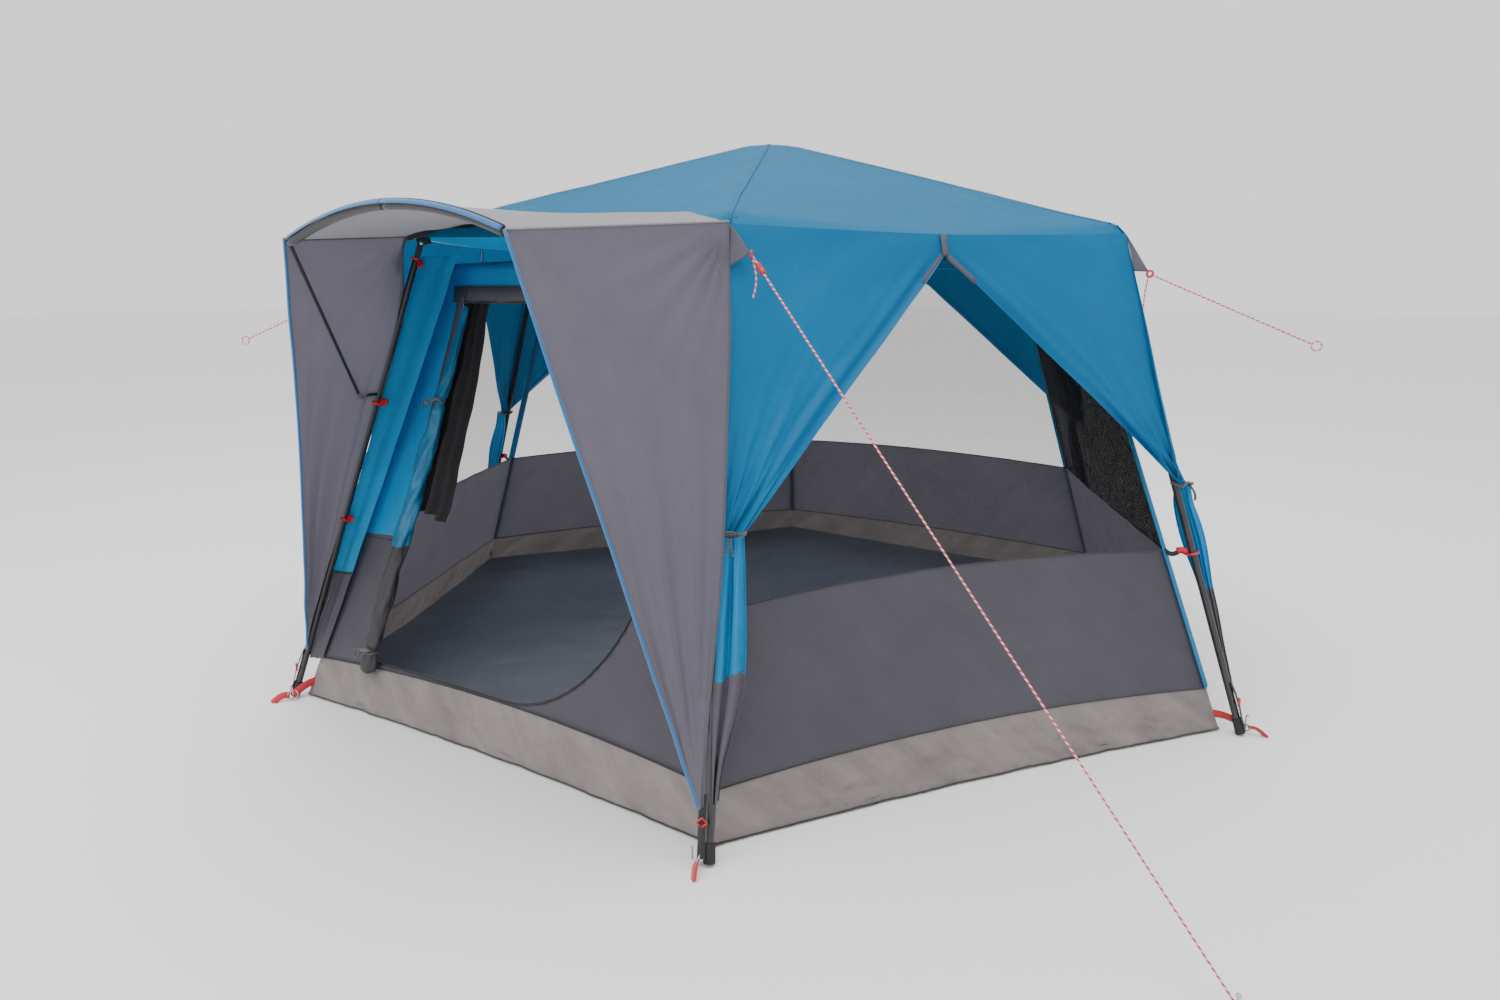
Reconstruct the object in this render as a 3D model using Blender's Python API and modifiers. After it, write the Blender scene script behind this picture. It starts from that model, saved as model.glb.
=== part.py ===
"""Six-legged quick-up cabin tent with an arched awning.

Row frame: metres, +Z up, ground at z = 0, the hub on the Z axis.
The door side faces -Y. Corners are named by their angle about the hub.
"""

import math

import bmesh
import bpy
from mathutils import Matrix, Vector

# ---------------------------------------------------------------- driving dimensions
CORNERS = {"L": -120, "F": -60, "R": 0, "R2": 60, "B": 120, "L2": 180}
ORDER = ["L", "F", "R", "R2", "B", "L2"]
EAVE_Z = 1.60  # height of the elbow pivots
ELBOW_R = 1.357  # radius of the elbow pivots
FOOT_R = 1.896  # radius where the legs meet the ground
HUB_PIVOT_R = 0.075
HUB_PIVOT_Z = 1.935
HUB_R = 0.084
HUB_TOP = 0.022  # top face above the pivots
SLOT_WIDTH = 0.0180
KNUCKLE_WIDTH = 0.0145
RING_WIRE_R = 0.0020  # the wire ring that all six roof poles turn on
RING_CLEAR = 0.0006
LEG_DROP = 0.030  # the leg pivot lies this far below the roof pole's axis

LEG_TUBE_R = 0.0120
ROOF_TUBE_R = 0.0110
TUBE_WALL = 0.0012
ROD_R = 0.0050  # fibreglass awning rod

FABRIC = 0.002
FLY_CORNER_R = 1.425
FLY_CORNER_Z = 1.658
FLY_MID_IN = 0.035  # how far the eave bows in at mid-side
FLY_MID_Z = 1.605
FLY_TOP_R = 0.030
FLY_TOP_Z = 2.004

FLOOR_R = 1.810  # groundsheet corner radius
FLOOR_T = 0.004
WALL_TOP_R = 1.250  # inner tent's top corner radius
WALL_TOP_Z = 1.530
WALL_FOOT_Z = 0.0055
BOW_IN = 0.090  # how far a wall's foot bows in at mid-side
BOW_TOP = 0.030
INNER_PEAK_Z = 1.800

TIE_Z = 0.820  # where a curtain is tied to its leg
TAIL_Z = 0.150
TIE_HALF = 0.055
DOOR_CURTAIN_HALF = 0.170  # the curtains beside the awning are narrow strips
LEG_TO_CURTAIN = 0.045

AWNING_HALF = 0.464
AWNING_Y = -1.794
AWNING_Z = 1.576
AWNING_RISE = 0.083
STRUT_SHARE = 0.675  # how far up its leg a strut is clipped
CANOPY_GAP = 0.012
STRUT_STANDOFF = 0.078
SIDE_OUT = 0.040  # the side panel lies this far outside its leg

DOOR_LEFT = -0.680
DOOR_RIGHT = 0.420
DOOR_SILL = 0.155
DOOR_HEAD = 1.395

ROPE_R = 0.0025
GUY_TAB_R = 0.135  # how far beyond its elbow a guy line starts
GUY_TAB_Z = 1.490
GUY_START_F = (0.795, -1.240, 1.533)  # the front line is drawn sideways, and its tab with it
GUY_ENDS = {"F": (2.150, -1.450, 0.030), "R": (1.975, 0.012, 1.282), "L": (-1.215, -1.535, 1.268)}

STEPS = 12

BLACK = (0.012, 0.012, 0.013, 1)
BLUE = (0.035, 0.190, 0.400, 1)
GREY = (0.115, 0.105, 0.115, 1)
MESH_GREY = (0.050, 0.050, 0.055, 1)
BEIGE = (0.300, 0.270, 0.255, 1)
RED = (0.450, 0.010, 0.015, 1)
STEEL = (0.550, 0.550, 0.560, 1)


# ---------------------------------------------------------------- helpers
def clear_scene():
    for obj in list(bpy.data.objects):
        bpy.data.objects.remove(obj, do_unlink=True)


def collection(name):
    made = bpy.data.collections.new(name)
    bpy.context.scene.collection.children.link(made)
    return made


def material(name, colour, roughness, metallic=0.0):
    made = bpy.data.materials.new(name)
    made.use_nodes = True
    shader = made.node_tree.nodes["Principled BSDF"]
    shader.inputs["Base Color"].default_value = colour
    shader.inputs["Roughness"].default_value = roughness
    shader.inputs["Metallic"].default_value = metallic
    return made


def radial(angle):
    a = math.radians(angle)
    return Vector((math.cos(a), math.sin(a), 0))


def tangent(angle):
    a = math.radians(angle)
    return Vector((-math.sin(a), math.cos(a), 0))


def at(angle, radius, z):
    return radial(angle) * radius + Vector((0, 0, z))


def mix(a, b, t):
    return a * (1 - t) + b * t


def aim(start, direction, side=None):
    """Matrix whose Z runs along direction from start; its X leans towards side where that is given."""
    z = direction.normalized()
    x = (side if side is not None else Vector((0, 0, 1))).copy()
    if abs(x.normalized().dot(z)) > 0.999:
        x = Vector((1, 0, 0))
    y = z.cross(x).normalized()
    x = y.cross(z)
    matrix = Matrix((x, y, z)).transposed().to_4x4()
    matrix.translation = start
    return matrix


def add(name, mesh, mat, matrix=None):
    """A node of the tent, or a hidden tool where it has no material."""
    obj = bpy.data.objects.new(name, mesh)
    if matrix is not None:
        obj.matrix_world = matrix
    if mat is None:
        CUTTERS.objects.link(obj)
    else:
        mesh.materials.append(mat)
        TENT.objects.link(obj)
    return obj


def turned(name, profile, mat, matrix, steps=STEPS, closed=True):
    """A turned piece: the profile is (radius, height) pairs, down the outer side first."""
    mesh = bpy.data.meshes.new(name)
    edges = [(i, i + 1) for i in range(len(profile) - 1)]
    if closed:
        edges.append((len(profile) - 1, 0))
    mesh.from_pydata([(r, 0, z) for r, z in profile], edges, [])
    obj = add(name, mesh, mat, matrix)
    screw = obj.modifiers.new("Screw", "SCREW")
    screw.steps = steps
    screw.render_steps = steps
    screw.use_merge_vertices = True
    screw.merge_threshold = 0.00001
    screw.use_smooth_shade = True
    return obj


def tube(name, start, end, radius, mat, steps=STEPS):
    length = (end - start).length
    inner = radius - TUBE_WALL
    profile = [(radius, length), (radius, 0), (inner, 0), (inner, length)]
    return turned(name, profile, mat, aim(start, end - start), steps)


def sheet(name, rows, mat, thickness=FABRIC):
    """A thin cloth solid through a grid of points."""
    mesh = bpy.data.meshes.new(name)
    form = bmesh.new()
    grid = [[form.verts.new(p) for p in row] for row in rows]
    for low, high in zip(grid, grid[1:]):
        for i in range(len(low) - 1):
            form.faces.new((low[i], low[i + 1], high[i + 1], high[i]))
    bmesh.ops.recalc_face_normals(form, faces=form.faces)
    form.to_mesh(mesh)
    form.free()
    obj = add(name, mesh, mat)
    solid = obj.modifiers.new("Solidify", "SOLIDIFY")
    solid.thickness = thickness
    solid.offset = 0
    return obj


def cut(obj, cutter):
    cutter.hide_render = True
    cutter.display_type = "WIRE"
    boolean = obj.modifiers.new("Cut", "BOOLEAN")
    boolean.operation = "DIFFERENCE"
    boolean.object = cutter


def join(obj, other):
    """Unites two meshes: the second one becomes a hidden tool."""
    other.hide_render = True
    other.display_type = "WIRE"
    boolean = obj.modifiers.new("Join", "BOOLEAN")
    boolean.operation = "UNION"
    boolean.object = other


def block(name, size, matrix):
    """A box-shaped tool with its scale applied."""
    mesh = bpy.data.meshes.new(name)
    form = bmesh.new()
    bmesh.ops.create_cube(form, size=1)
    bmesh.ops.scale(form, vec=size, verts=form.verts)
    form.to_mesh(mesh)
    form.free()
    return add(name, mesh, None, matrix)


def cylinder(name, start, end, radius, mat=None, steps=STEPS):
    """A solid round bar from start to end."""
    mesh = bpy.data.meshes.new(name)
    form = bmesh.new()
    length = (end - start).length
    bmesh.ops.create_cone(form, cap_ends=True, segments=steps, radius1=radius, radius2=radius, depth=length)
    bmesh.ops.translate(form, vec=(0, 0, length / 2), verts=form.verts)
    form.to_mesh(mesh)
    form.free()
    return add(name, mesh, mat, aim(start, end - start))


def across(name, middle, axis, length, radius):
    """A round tool through middle along axis: a pin, or the hole for one."""
    half = axis.normalized() * (length / 2)
    return cylinder(name, middle - half, middle + half, radius)


def frame_of(x, y, place):
    """Matrix with the given X and Y directions at place."""
    matrix = Matrix((x, y, x.cross(y))).transposed().to_4x4()
    matrix.translation = place
    return matrix


def rod(name, points, radius, mat, resolution=2):
    """A round rod or rope: a POLY curve with filled caps."""
    curve = bpy.data.curves.new(name, "CURVE")
    curve.dimensions = "3D"
    curve.bevel_depth = radius
    curve.bevel_resolution = resolution
    curve.use_fill_caps = True
    spline = curve.splines.new("POLY")
    spline.points.add(len(points) - 1)
    for point, place in zip(spline.points, points):
        point.co = (*place, 1)
    obj = bpy.data.objects.new(name, curve)
    curve.materials.append(mat)
    TENT.objects.link(obj)
    return obj


# ---------------------------------------------------------------- frame geometry
def pole_angle():
    """Fall of a roof pole below level, so that the leg pivot lies LEG_DROP under its axis."""
    run = ELBOW_R - HUB_PIVOT_R
    fall = HUB_PIVOT_Z - EAVE_Z
    return math.atan2(fall, run) - math.asin(LEG_DROP / math.hypot(run, fall))


def pole_tip(angle):
    a = pole_angle()
    reach = math.sqrt((ELBOW_R - HUB_PIVOT_R) ** 2 + (HUB_PIVOT_Z - EAVE_Z) ** 2 - LEG_DROP**2)
    return at(angle, HUB_PIVOT_R + reach * math.cos(a), HUB_PIVOT_Z - reach * math.sin(a))


def hub_pivot(angle):
    return at(angle, HUB_PIVOT_R, HUB_PIVOT_Z)


def elbow(angle):
    return at(angle, ELBOW_R, EAVE_Z)


def foot(angle):
    return at(angle, FOOT_R, 0)


def leg_point(angle, share):
    return mix(foot(angle), elbow(angle), share)


# ---------------------------------------------------------------- hub
def ring_profile(wire_r):
    """A round wire's section at the pivot radius, from its top round the outside."""
    points = []
    for i in range(8):
        a = math.radians(90 - 45 * i)
        points.append((HUB_PIVOT_R + wire_r * math.cos(a), wire_r * math.sin(a)))
    return points


def make_hub():
    low = HUB_PIVOT_Z - 0.034
    top = HUB_PIVOT_Z + HUB_TOP
    profile = [(0.001, top), (HUB_R - 0.004, top), (HUB_R, top - 0.006), (HUB_R, HUB_PIVOT_Z - 0.018)]
    profile += [(HUB_R - 0.014, low + 0.004), (0.020, low), (0.001, low)]
    hub = turned("hub", profile, material("hub_plastic", BLACK, 0.45), Matrix(), 24)
    for corner in ORDER:
        angle = CORNERS[corner]
        place = frame_of(radial(angle), tangent(angle), hub_pivot(angle))
        cut(hub, block("hub_slot_" + corner, (0.050, SLOT_WIDTH, 0.090), place))
    level = Matrix.Translation((0, 0, HUB_PIVOT_Z))
    cut(hub, turned("hub_groove", ring_profile(RING_WIRE_R + RING_CLEAR), None, level, 48))
    turned("hub_ring", ring_profile(RING_WIRE_R), material("ring_steel", STEEL, 0.3, 1.0), level, 48)

    cap_low = top + 0.0006
    cap_profile = [(0.001, cap_low + 0.016), (0.026, cap_low + 0.013), (0.044, cap_low + 0.004)]
    cap_profile += [(0.046, cap_low), (0.001, cap_low)]
    turned("hub_cap", cap_profile, material("cap_plastic", BLACK, 0.4), Matrix(), 24)


# ---------------------------------------------------------------- roof poles, elbows, legs, feet
def make_roof_pole(corner, mat_pole, mat_plastic):
    """A roof pole: its knuckle turns on the hub's ring, and its outer end carries the elbow."""
    angle = CORNERS[corner]
    start, tip = hub_pivot(angle), pole_tip(angle)
    along = (tip - start).normalized()
    side = tangent(angle)
    pole = tube("roof_pole_" + corner, start + along * 0.030, tip - along * 0.050, ROOF_TUBE_R, mat_pole)
    knuckle = frame_of(along, side, start + along * 0.014)
    join(pole, block("knuckle_" + corner, (0.048, KNUCKLE_WIDTH, 0.0150), knuckle))
    cut(pole, across("knuckle_hole_" + corner, start, side, 0.030, RING_WIRE_R + 0.0010))

    down = along.cross(side).normalized()
    if down.z > 0:
        down = -down
    socket_r = ROOF_TUBE_R + 0.0045
    bore_r = ROOF_TUBE_R + 0.0004
    profile = [(socket_r, 0.075), (socket_r, 0), (bore_r, 0), (bore_r, 0.046), (0.0001, 0.046)]
    profile += [(0.0001, 0.075)]
    place = aim(tip - along * 0.0955, along)
    socket = turned("elbow_" + corner, profile, mat_plastic, place, STEPS)
    middle = tip - along * 0.012 + down * 0.014
    join(socket, block("elbow_cheek_" + corner, (0.044, 0.034, 0.050), frame_of(along, side, middle)))
    gap = frame_of(along, side, elbow(angle) + down * 0.004)
    cut(socket, block("elbow_gap_" + corner, (0.070, 0.0180, 0.044), gap))
    join(socket, across("elbow_pin_" + corner, elbow(angle), side, 0.030, 0.0040))


def make_leg(corner, mat_pole, mat_rubber):
    """A leg: its flattened head turns on the pin between the elbow's cheeks."""
    angle = CORNERS[corner]
    top, bottom = elbow(angle), foot(angle)
    down = (bottom - top).normalized()
    length = (bottom - top).length
    sink = 0.0165 * math.sin(math.acos(-down.z)) + 0.0006
    leg = tube("leg_" + corner, top + down * 0.055, top + down * (length - 0.060), LEG_TUBE_R, mat_pole)
    head_frame = aim(top + down * 0.024, down, tangent(angle))
    join(leg, block("leg_head_" + corner, (0.0150, 0.0200, 0.068), head_frame))
    cut(leg, across("leg_hole_" + corner, top, tangent(angle), 0.030, 0.0046))

    end = length - sink / max(-down.z, 0.1)
    reach = end - (length - 0.0594) + 0.030
    bore_r = LEG_TUBE_R - TUBE_WALL - 0.0004
    profile = [(bore_r, reach), (bore_r, reach - 0.030), (0.0150, reach - 0.0302)]
    profile += [(0.0165, 0.004), (0.0150, 0), (0.0001, 0), (0.0001, reach)]
    place = aim(top + down * end, -down)
    turned("foot_" + corner, profile, mat_rubber, place, STEPS)
    return leg


# ---------------------------------------------------------------- fly
def ridge(angle, share):
    return mix(at(angle, FLY_TOP_R, FLY_TOP_Z), at(angle, FLY_CORNER_R, FLY_CORNER_Z), share)


def mid_roof(angle, share):
    apothem = FLY_CORNER_R * math.cos(math.radians(30)) - FLY_MID_IN
    return mix(at(angle, FLY_TOP_R, FLY_TOP_Z), at(angle, apothem, FLY_MID_Z), share)


def make_fly_roof(corner, mat):
    """The part of the roof fly between two mid-sides, over one roof pole."""
    angle = CORNERS[corner]
    rows = []
    for i in range(5):
        share = i / 4
        left, middle, right = mid_roof(angle - 30, share), ridge(angle, share), mid_roof(angle + 30, share)
        inset = 0.0012
        row = [mix(middle, left, 1 - inset), mix(middle, left, 0.5), middle]
        row += [mix(middle, right, 0.5), mix(middle, right, 1 - inset)]
        keep_off = tangent(angle) * 0.0012
        row[0] = row[0] + keep_off
        row[-1] = row[-1] - keep_off
        rows.append(row)
    sheet("fly_roof_" + corner, rows, mat)


def curtain_line(angle, z):
    """The outer side of the leg at height z, where the curtain's corner runs."""
    share = z / EAVE_Z
    return leg_point(angle, share) + radial(angle) * LEG_TO_CURTAIN


def make_curtain(corner, mat):
    """One corner's two fly curtains, drawn to the leg at the tie, with the tail below it."""
    angle = CORNERS[corner]
    rows = []
    top_z = FLY_CORNER_Z - 0.016
    drops = [0, 0.33, 0.66, 1]
    heights = [mix(top_z, TIE_Z, d) for d in drops] + [TIE_Z - 0.25, TAIL_Z]
    side_half = FLY_CORNER_R / 2 - 0.004
    for i, z in enumerate(heights):
        middle = curtain_line(angle, min(z, EAVE_Z)) + Vector((0, 0, max(0, z - EAVE_Z)))
        if i == 0:
            middle = at(angle, FLY_CORNER_R - 0.008, top_z)
        row = []
        for v in (-1, -0.5, 0, 0.5, 1):
            way = (tangent(angle) * (1 if v > 0 else -1)) * math.cos(math.radians(30))
            way = way - radial(angle) * math.sin(math.radians(30))
            by_door = (corner, v > 0) in (("L", True), ("F", False))
            half = mix(DOOR_CURTAIN_HALF if by_door else side_half, TIE_HALF, min(1, i / 3))
            if i == 0:
                share = abs(v) * half / side_half
                sag = FLY_CORNER_Z - FLY_MID_Z
                bow = radial(angle + (30 if v > 0 else -30)) * (FLY_MID_IN * share)
                row.append(middle + way * half * abs(v) - bow - Vector((0, 0, sag * share)))
            else:
                row.append(middle + way * half * abs(v))
        rows.append(row)
    return sheet("fly_curtain_" + corner, rows, mat)


# ---------------------------------------------------------------- inner tent
def wall_point(angle, across, z):
    """A point on the wall whose outward side faces angle: across is -1 to 1 between its corners."""
    share = (z - WALL_FOOT_Z) / (WALL_TOP_Z - WALL_FOOT_Z)
    radius = mix(FLOOR_R - 0.012, WALL_TOP_R, share)
    bow = mix(BOW_IN, BOW_TOP, share) * (1 - across * across)
    apothem = radius * math.cos(math.radians(30)) - bow
    half = radius * 0.5 - 0.004
    return radial(angle) * apothem + tangent(angle) * (half * across) + Vector((0, 0, z))


def make_wall(name, angle, mat):
    rows = []
    for z in (WALL_FOOT_Z, 0.135, 0.600, 1.05, WALL_TOP_Z):
        rows.append([wall_point(angle, -1 + i / 4, z) for i in range(9)])
    return sheet(name, rows, mat)


def door_outline():
    """The D of the door as (x, z) points: a straight left side and a round right side."""
    middle = (DOOR_SILL + DOOR_HEAD) / 2
    half = (DOOR_HEAD - DOOR_SILL) / 2
    points = [(DOOR_LEFT, DOOR_HEAD), (DOOR_LEFT + 0.02, DOOR_SILL)]
    reach = DOOR_RIGHT - (DOOR_LEFT + 0.45)
    for i in range(13):
        a = math.radians(-90 + 15 * i)
        points.append((DOOR_LEFT + 0.45 + reach * math.cos(a), middle + half * math.sin(a)))
    return points


def cut_door(wall):
    curve = bpy.data.curves.new("door_cutter", "CURVE")
    curve.dimensions = "2D"
    curve.fill_mode = "BOTH"
    curve.extrude = 0.4
    outline = door_outline()
    spline = curve.splines.new("POLY")
    spline.points.add(len(outline) - 1)
    for point, (x, z) in zip(spline.points, outline):
        point.co = (x, z, 0, 1)
    spline.use_cyclic_u = True
    guide = bpy.data.objects.new("door_guide", curve)
    guide.matrix_world = Matrix.Translation((0, -1.30, 0)) @ Matrix.Rotation(math.radians(90), 4, "X")
    CUTTERS.objects.link(guide)
    bpy.context.view_layer.update()
    graph = bpy.context.evaluated_depsgraph_get()
    mesh = bpy.data.meshes.new_from_object(guide.evaluated_get(graph))
    form = bmesh.new()
    form.from_mesh(mesh)
    bmesh.ops.remove_doubles(form, verts=form.verts, dist=0.00001)
    bmesh.ops.recalc_face_normals(form, faces=form.faces)
    form.to_mesh(mesh)
    form.free()
    cutter = bpy.data.objects.new("door_cutter", mesh)
    cutter.matrix_world = guide.matrix_world.copy()
    CUTTERS.objects.link(cutter)
    bpy.data.objects.remove(guide)
    cut(wall, cutter)


def make_groundsheet(mat):
    mesh = bpy.data.meshes.new("groundsheet")
    form = bmesh.new()
    rim = []
    for angle in (CORNERS[c] for c in ORDER):
        for i in range(8):
            across = -1 + i / 4
            apothem = FLOOR_R * math.cos(math.radians(30)) - BOW_IN * (1 - across * across)
            side = angle + 30
            rim.append(form.verts.new(radial(side) * apothem + tangent(side) * (FLOOR_R * 0.5 * across)))
    form.faces.new(rim)
    bmesh.ops.recalc_face_normals(form, faces=form.faces)
    form.to_mesh(mesh)
    form.free()
    obj = add("groundsheet", mesh, mat)
    obj.location = (0, 0, FLOOR_T / 2)
    solid = obj.modifiers.new("Solidify", "SOLIDIFY")
    solid.thickness = FLOOR_T
    solid.offset = 0


def make_inner_roof(mat):
    """The inner tent's ceiling: a low hexagonal cone that hangs from the hub."""
    mesh = bpy.data.meshes.new("inner_roof")
    form = bmesh.new()
    low_z = WALL_TOP_Z + 0.006
    rings = []
    for share, z in ((1.0, low_z), (0.5, mix(low_z, INNER_PEAK_Z, 0.45)), (0.03, INNER_PEAK_Z)):
        ring = []
        for side in (CORNERS[c] + 30 for c in ORDER):
            for i in range(4):
                across = -1 + i / 2
                apothem = WALL_TOP_R * math.cos(math.radians(30)) - BOW_TOP * (1 - across * across)
                place = radial(side) * apothem * share + tangent(side) * (WALL_TOP_R * 0.5 * across * share)
                ring.append(form.verts.new(place + Vector((0, 0, z))))
        rings.append(ring)
    for low, high in zip(rings, rings[1:]):
        for i in range(len(low)):
            j = (i + 1) % len(low)
            form.faces.new((low[i], low[j], high[j], high[i]))
    form.faces.new(rings[-1])
    bmesh.ops.recalc_face_normals(form, faces=form.faces)
    form.to_mesh(mesh)
    form.free()
    obj = add("inner_roof", mesh, mat)
    solid = obj.modifiers.new("Solidify", "SOLIDIFY")
    solid.thickness = FABRIC
    solid.offset = 0


# ---------------------------------------------------------------- awning
def awning_corner(sign):
    return Vector((sign * AWNING_HALF, AWNING_Y, AWNING_Z))


def arch_point(x):
    lift = AWNING_RISE * (1 - (x / AWNING_HALF) ** 2)
    return Vector((x, AWNING_Y, AWNING_Z + lift))


def strut_base(corner):
    angle = CORNERS[corner]
    return leg_point(angle, STRUT_SHARE) + Vector((0, -STRUT_STANDOFF, 0))


def strut_axis(corner, sign):
    """The strut's direction, and the axis it folds down to its leg about."""
    along = (awning_corner(sign) - strut_base(corner)).normalized()
    down = (foot(CORNERS[corner]) - elbow(CORNERS[corner])).normalized()
    return along, along.cross(down).normalized()


def make_strut_clip(corner, sign, leg, curtain):
    """The bracket on the leg that a strut turns in: an arm through the curtain, with a fork at its end."""
    base = strut_base(corner)
    start = leg_point(CORNERS[corner], STRUT_SHARE)
    arm = aim(mix(start, base, 0.45), base - start)
    join(leg, block("clip_arm_" + corner, (0.010, 0.014, STRUT_STANDOFF * 0.9), arm))
    hole = aim(mix(start, base, 0.5), base - start)
    cut(curtain, block("buttonhole_" + corner, (0.020, 0.026, 0.050), hole))
    _, axis = strut_axis(corner, sign)
    out = (base - start).normalized()
    out = (out - axis * out.dot(axis)).normalized()
    join(leg, block("clip_fork_" + corner, (0.0200, 0.0200, 0.0160), frame_of(axis, out, base - out * 0.003)))
    cut(leg, block("clip_slot_" + corner, (0.0116, 0.0390, 0.0600), frame_of(axis, out, base + out * 0.0105)))
    join(leg, across("clip_pin_" + corner, base, axis, 0.019, 0.0026))


def make_awning_poles(corner, sign, mat):
    base, tip = strut_base(corner), awning_corner(sign)
    along, axis = strut_axis(corner, sign)
    strut = cylinder("awning_strut_" + corner, base, tip - along * 0.002, ROD_R, mat)
    eye = frame_of(axis, along, base + along * 0.008)
    join(strut, block("strut_eye_" + corner, (0.0100, 0.0280, 0.0120), eye))
    cut(strut, across("strut_hole_" + corner, base, axis, 0.030, 0.0032))

    count = 12
    inner, outer = 0.0006, AWNING_HALF - 0.008
    arch = [arch_point(sign * (outer + (inner - outer) * i / count)) for i in range(count + 1)]
    rod("awning_arch_" + corner, arch, ROD_R, mat)
    bend = (arch[1] - arch[0]).normalized()
    join(strut, cylinder("ferrule_" + corner, arch[0] - bend * 0.008, arch[0] + bend * 0.026, ROD_R + 0.0032))
    cut(strut, cylinder("ferrule_bore_" + corner, arch[0] - bend * 0.001, arch[0] + bend * 0.040, ROD_R + 0.0007))


def make_canopy(mat):
    """The awning's top, from the eave of the door side out over the arch."""
    rows = []
    back_half = FLY_CORNER_R * 0.5 - 0.010
    back_y = -(FLY_CORNER_R * math.cos(math.radians(30))) - CANOPY_GAP
    for i in range(5):
        share = i / 4
        row = []
        for k in range(9):
            across = -1 + k / 4
            back = Vector((back_half * across, back_y, FLY_CORNER_Z + 0.002))
            front = arch_point(AWNING_HALF * across) + Vector((0, -0.004, ROD_R + 0.006))
            row.append(mix(back, front, share))
        rows.append(row)
    sheet("awning_canopy", rows, mat)


def make_awning_side(corner, sign, mat):
    """A side panel: a triangle from the leg out to the awning's front corner."""
    angle = CORNERS[corner]
    outward = Vector((sign * SIDE_OUT, -0.058, 0))
    low = leg_point(angle, 0.085) + outward
    high = leg_point(angle, 0.985) + outward
    tip = awning_corner(sign) + Vector((sign * 0.026, 0, -0.012))
    rows = []
    for i in range(5):
        share = i / 4
        inner = mix(low, high, share)
        outer = mix(low + Vector((-sign * 0.010, -0.012, 0)), tip, share)
        rows.append([mix(inner, outer, k / 3) for k in range(4)])
    sheet("awning_side_" + corner, rows, mat)


# ---------------------------------------------------------------- guy lines
def guy_start(corner):
    if corner == "F":
        return Vector(GUY_START_F)
    return at(CORNERS[corner], ELBOW_R + GUY_TAB_R, GUY_TAB_Z)


def make_guy(corner, mat):
    """A taut guy line; a tied loop ends the two that lead out of reach."""
    start, end = guy_start(corner), Vector(GUY_ENDS[corner])
    count = 12
    rod("guy_rope_" + corner, [mix(start, end, i / count) for i in range(count + 1)], ROPE_R, mat)


def make_runner(mat):
    """The plastic slider that takes up the front guy line."""
    start, end = guy_start("F"), Vector(GUY_ENDS["F"])
    along = (end - start).normalized()
    place = aim(start + along * 0.030, along)
    profile = [(0.0065, 0.034), (0.0080, 0.030), (0.0065, 0.017), (0.0080, 0.004), (0.0065, 0)]
    profile += [(ROPE_R + 0.0008, 0), (ROPE_R + 0.0008, 0.034)]
    turned("guy_runner_F", profile, mat, place, STEPS)


def make_peg(mat):
    """The stake at the foot of the front guy line: a head above the ground with its hook."""
    end = Vector(GUY_ENDS["F"])
    start = guy_start("F")
    away = (end - start)
    away.z = 0
    away.normalize()
    centre = end + away * 0.0080
    profile = [(0.0001, 0.052), (0.0050, 0.050), (0.0060, 0.044), (0.0040, 0.040), (0.0040, 0.0006)]
    profile += [(0.0001, 0.0006)]
    place = Matrix.Translation((centre.x, centre.y, 0))
    turned("guy_peg_F", profile, mat, place, STEPS)


# ---------------------------------------------------------------- assembly
def build():
    pole = material("pole_enamel", BLACK, 0.35, 0.6)
    plastic = material("elbow_plastic", BLACK, 0.5)
    rubber = material("foot_rubber", BLACK, 0.8)
    blue = material("fly_fabric", BLUE, 0.7)
    grey = material("awning_fabric", GREY, 0.75)
    wall = material("wall_fabric", GREY, 0.75)
    net = material("ceiling_net", MESH_GREY, 0.8)
    floor = material("floor_sheet", BEIGE, 0.6)
    rod_black = material("awning_rod", BLACK, 0.4)
    rope = material("guy_rope", RED, 0.7)

    make_hub()
    legs, curtains = {}, {}
    for corner in ORDER:
        make_roof_pole(corner, pole, plastic)
        legs[corner] = make_leg(corner, pole, rubber)
        make_fly_roof(corner, blue)
        curtains[corner] = make_curtain(corner, blue)

    make_groundsheet(floor)
    make_inner_roof(net)
    for corner, other in zip(ORDER, ORDER[1:] + ORDER[:1]):
        side = make_wall("wall_" + corner + "_" + other, CORNERS[corner] + 30, wall)
        if corner == "L":
            cut_door(side)

    for corner, sign in (("L", -1), ("F", 1)):
        make_strut_clip(corner, sign, legs[corner], curtains[corner])
        make_awning_poles(corner, sign, rod_black)
        make_awning_side(corner, sign, grey)
    make_canopy(grey)

    for corner in GUY_ENDS:
        make_guy(corner, rope)
    make_runner(material("runner_plastic", RED, 0.4))
    make_peg(material("peg_steel", STEEL, 0.35, 1.0))


clear_scene()
TENT = collection("cabin_tent")
CUTTERS = collection("cutters")
CUTTERS.hide_render = True
build()
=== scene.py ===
"""Looks of the quick-up cabin tent: its cloth, poles, cords and fittings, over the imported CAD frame."""

from math import asin, atan2, cos, exp, hypot, pi, radians, sin, sqrt

import bmesh
import bpy
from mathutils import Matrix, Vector, noise


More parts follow.
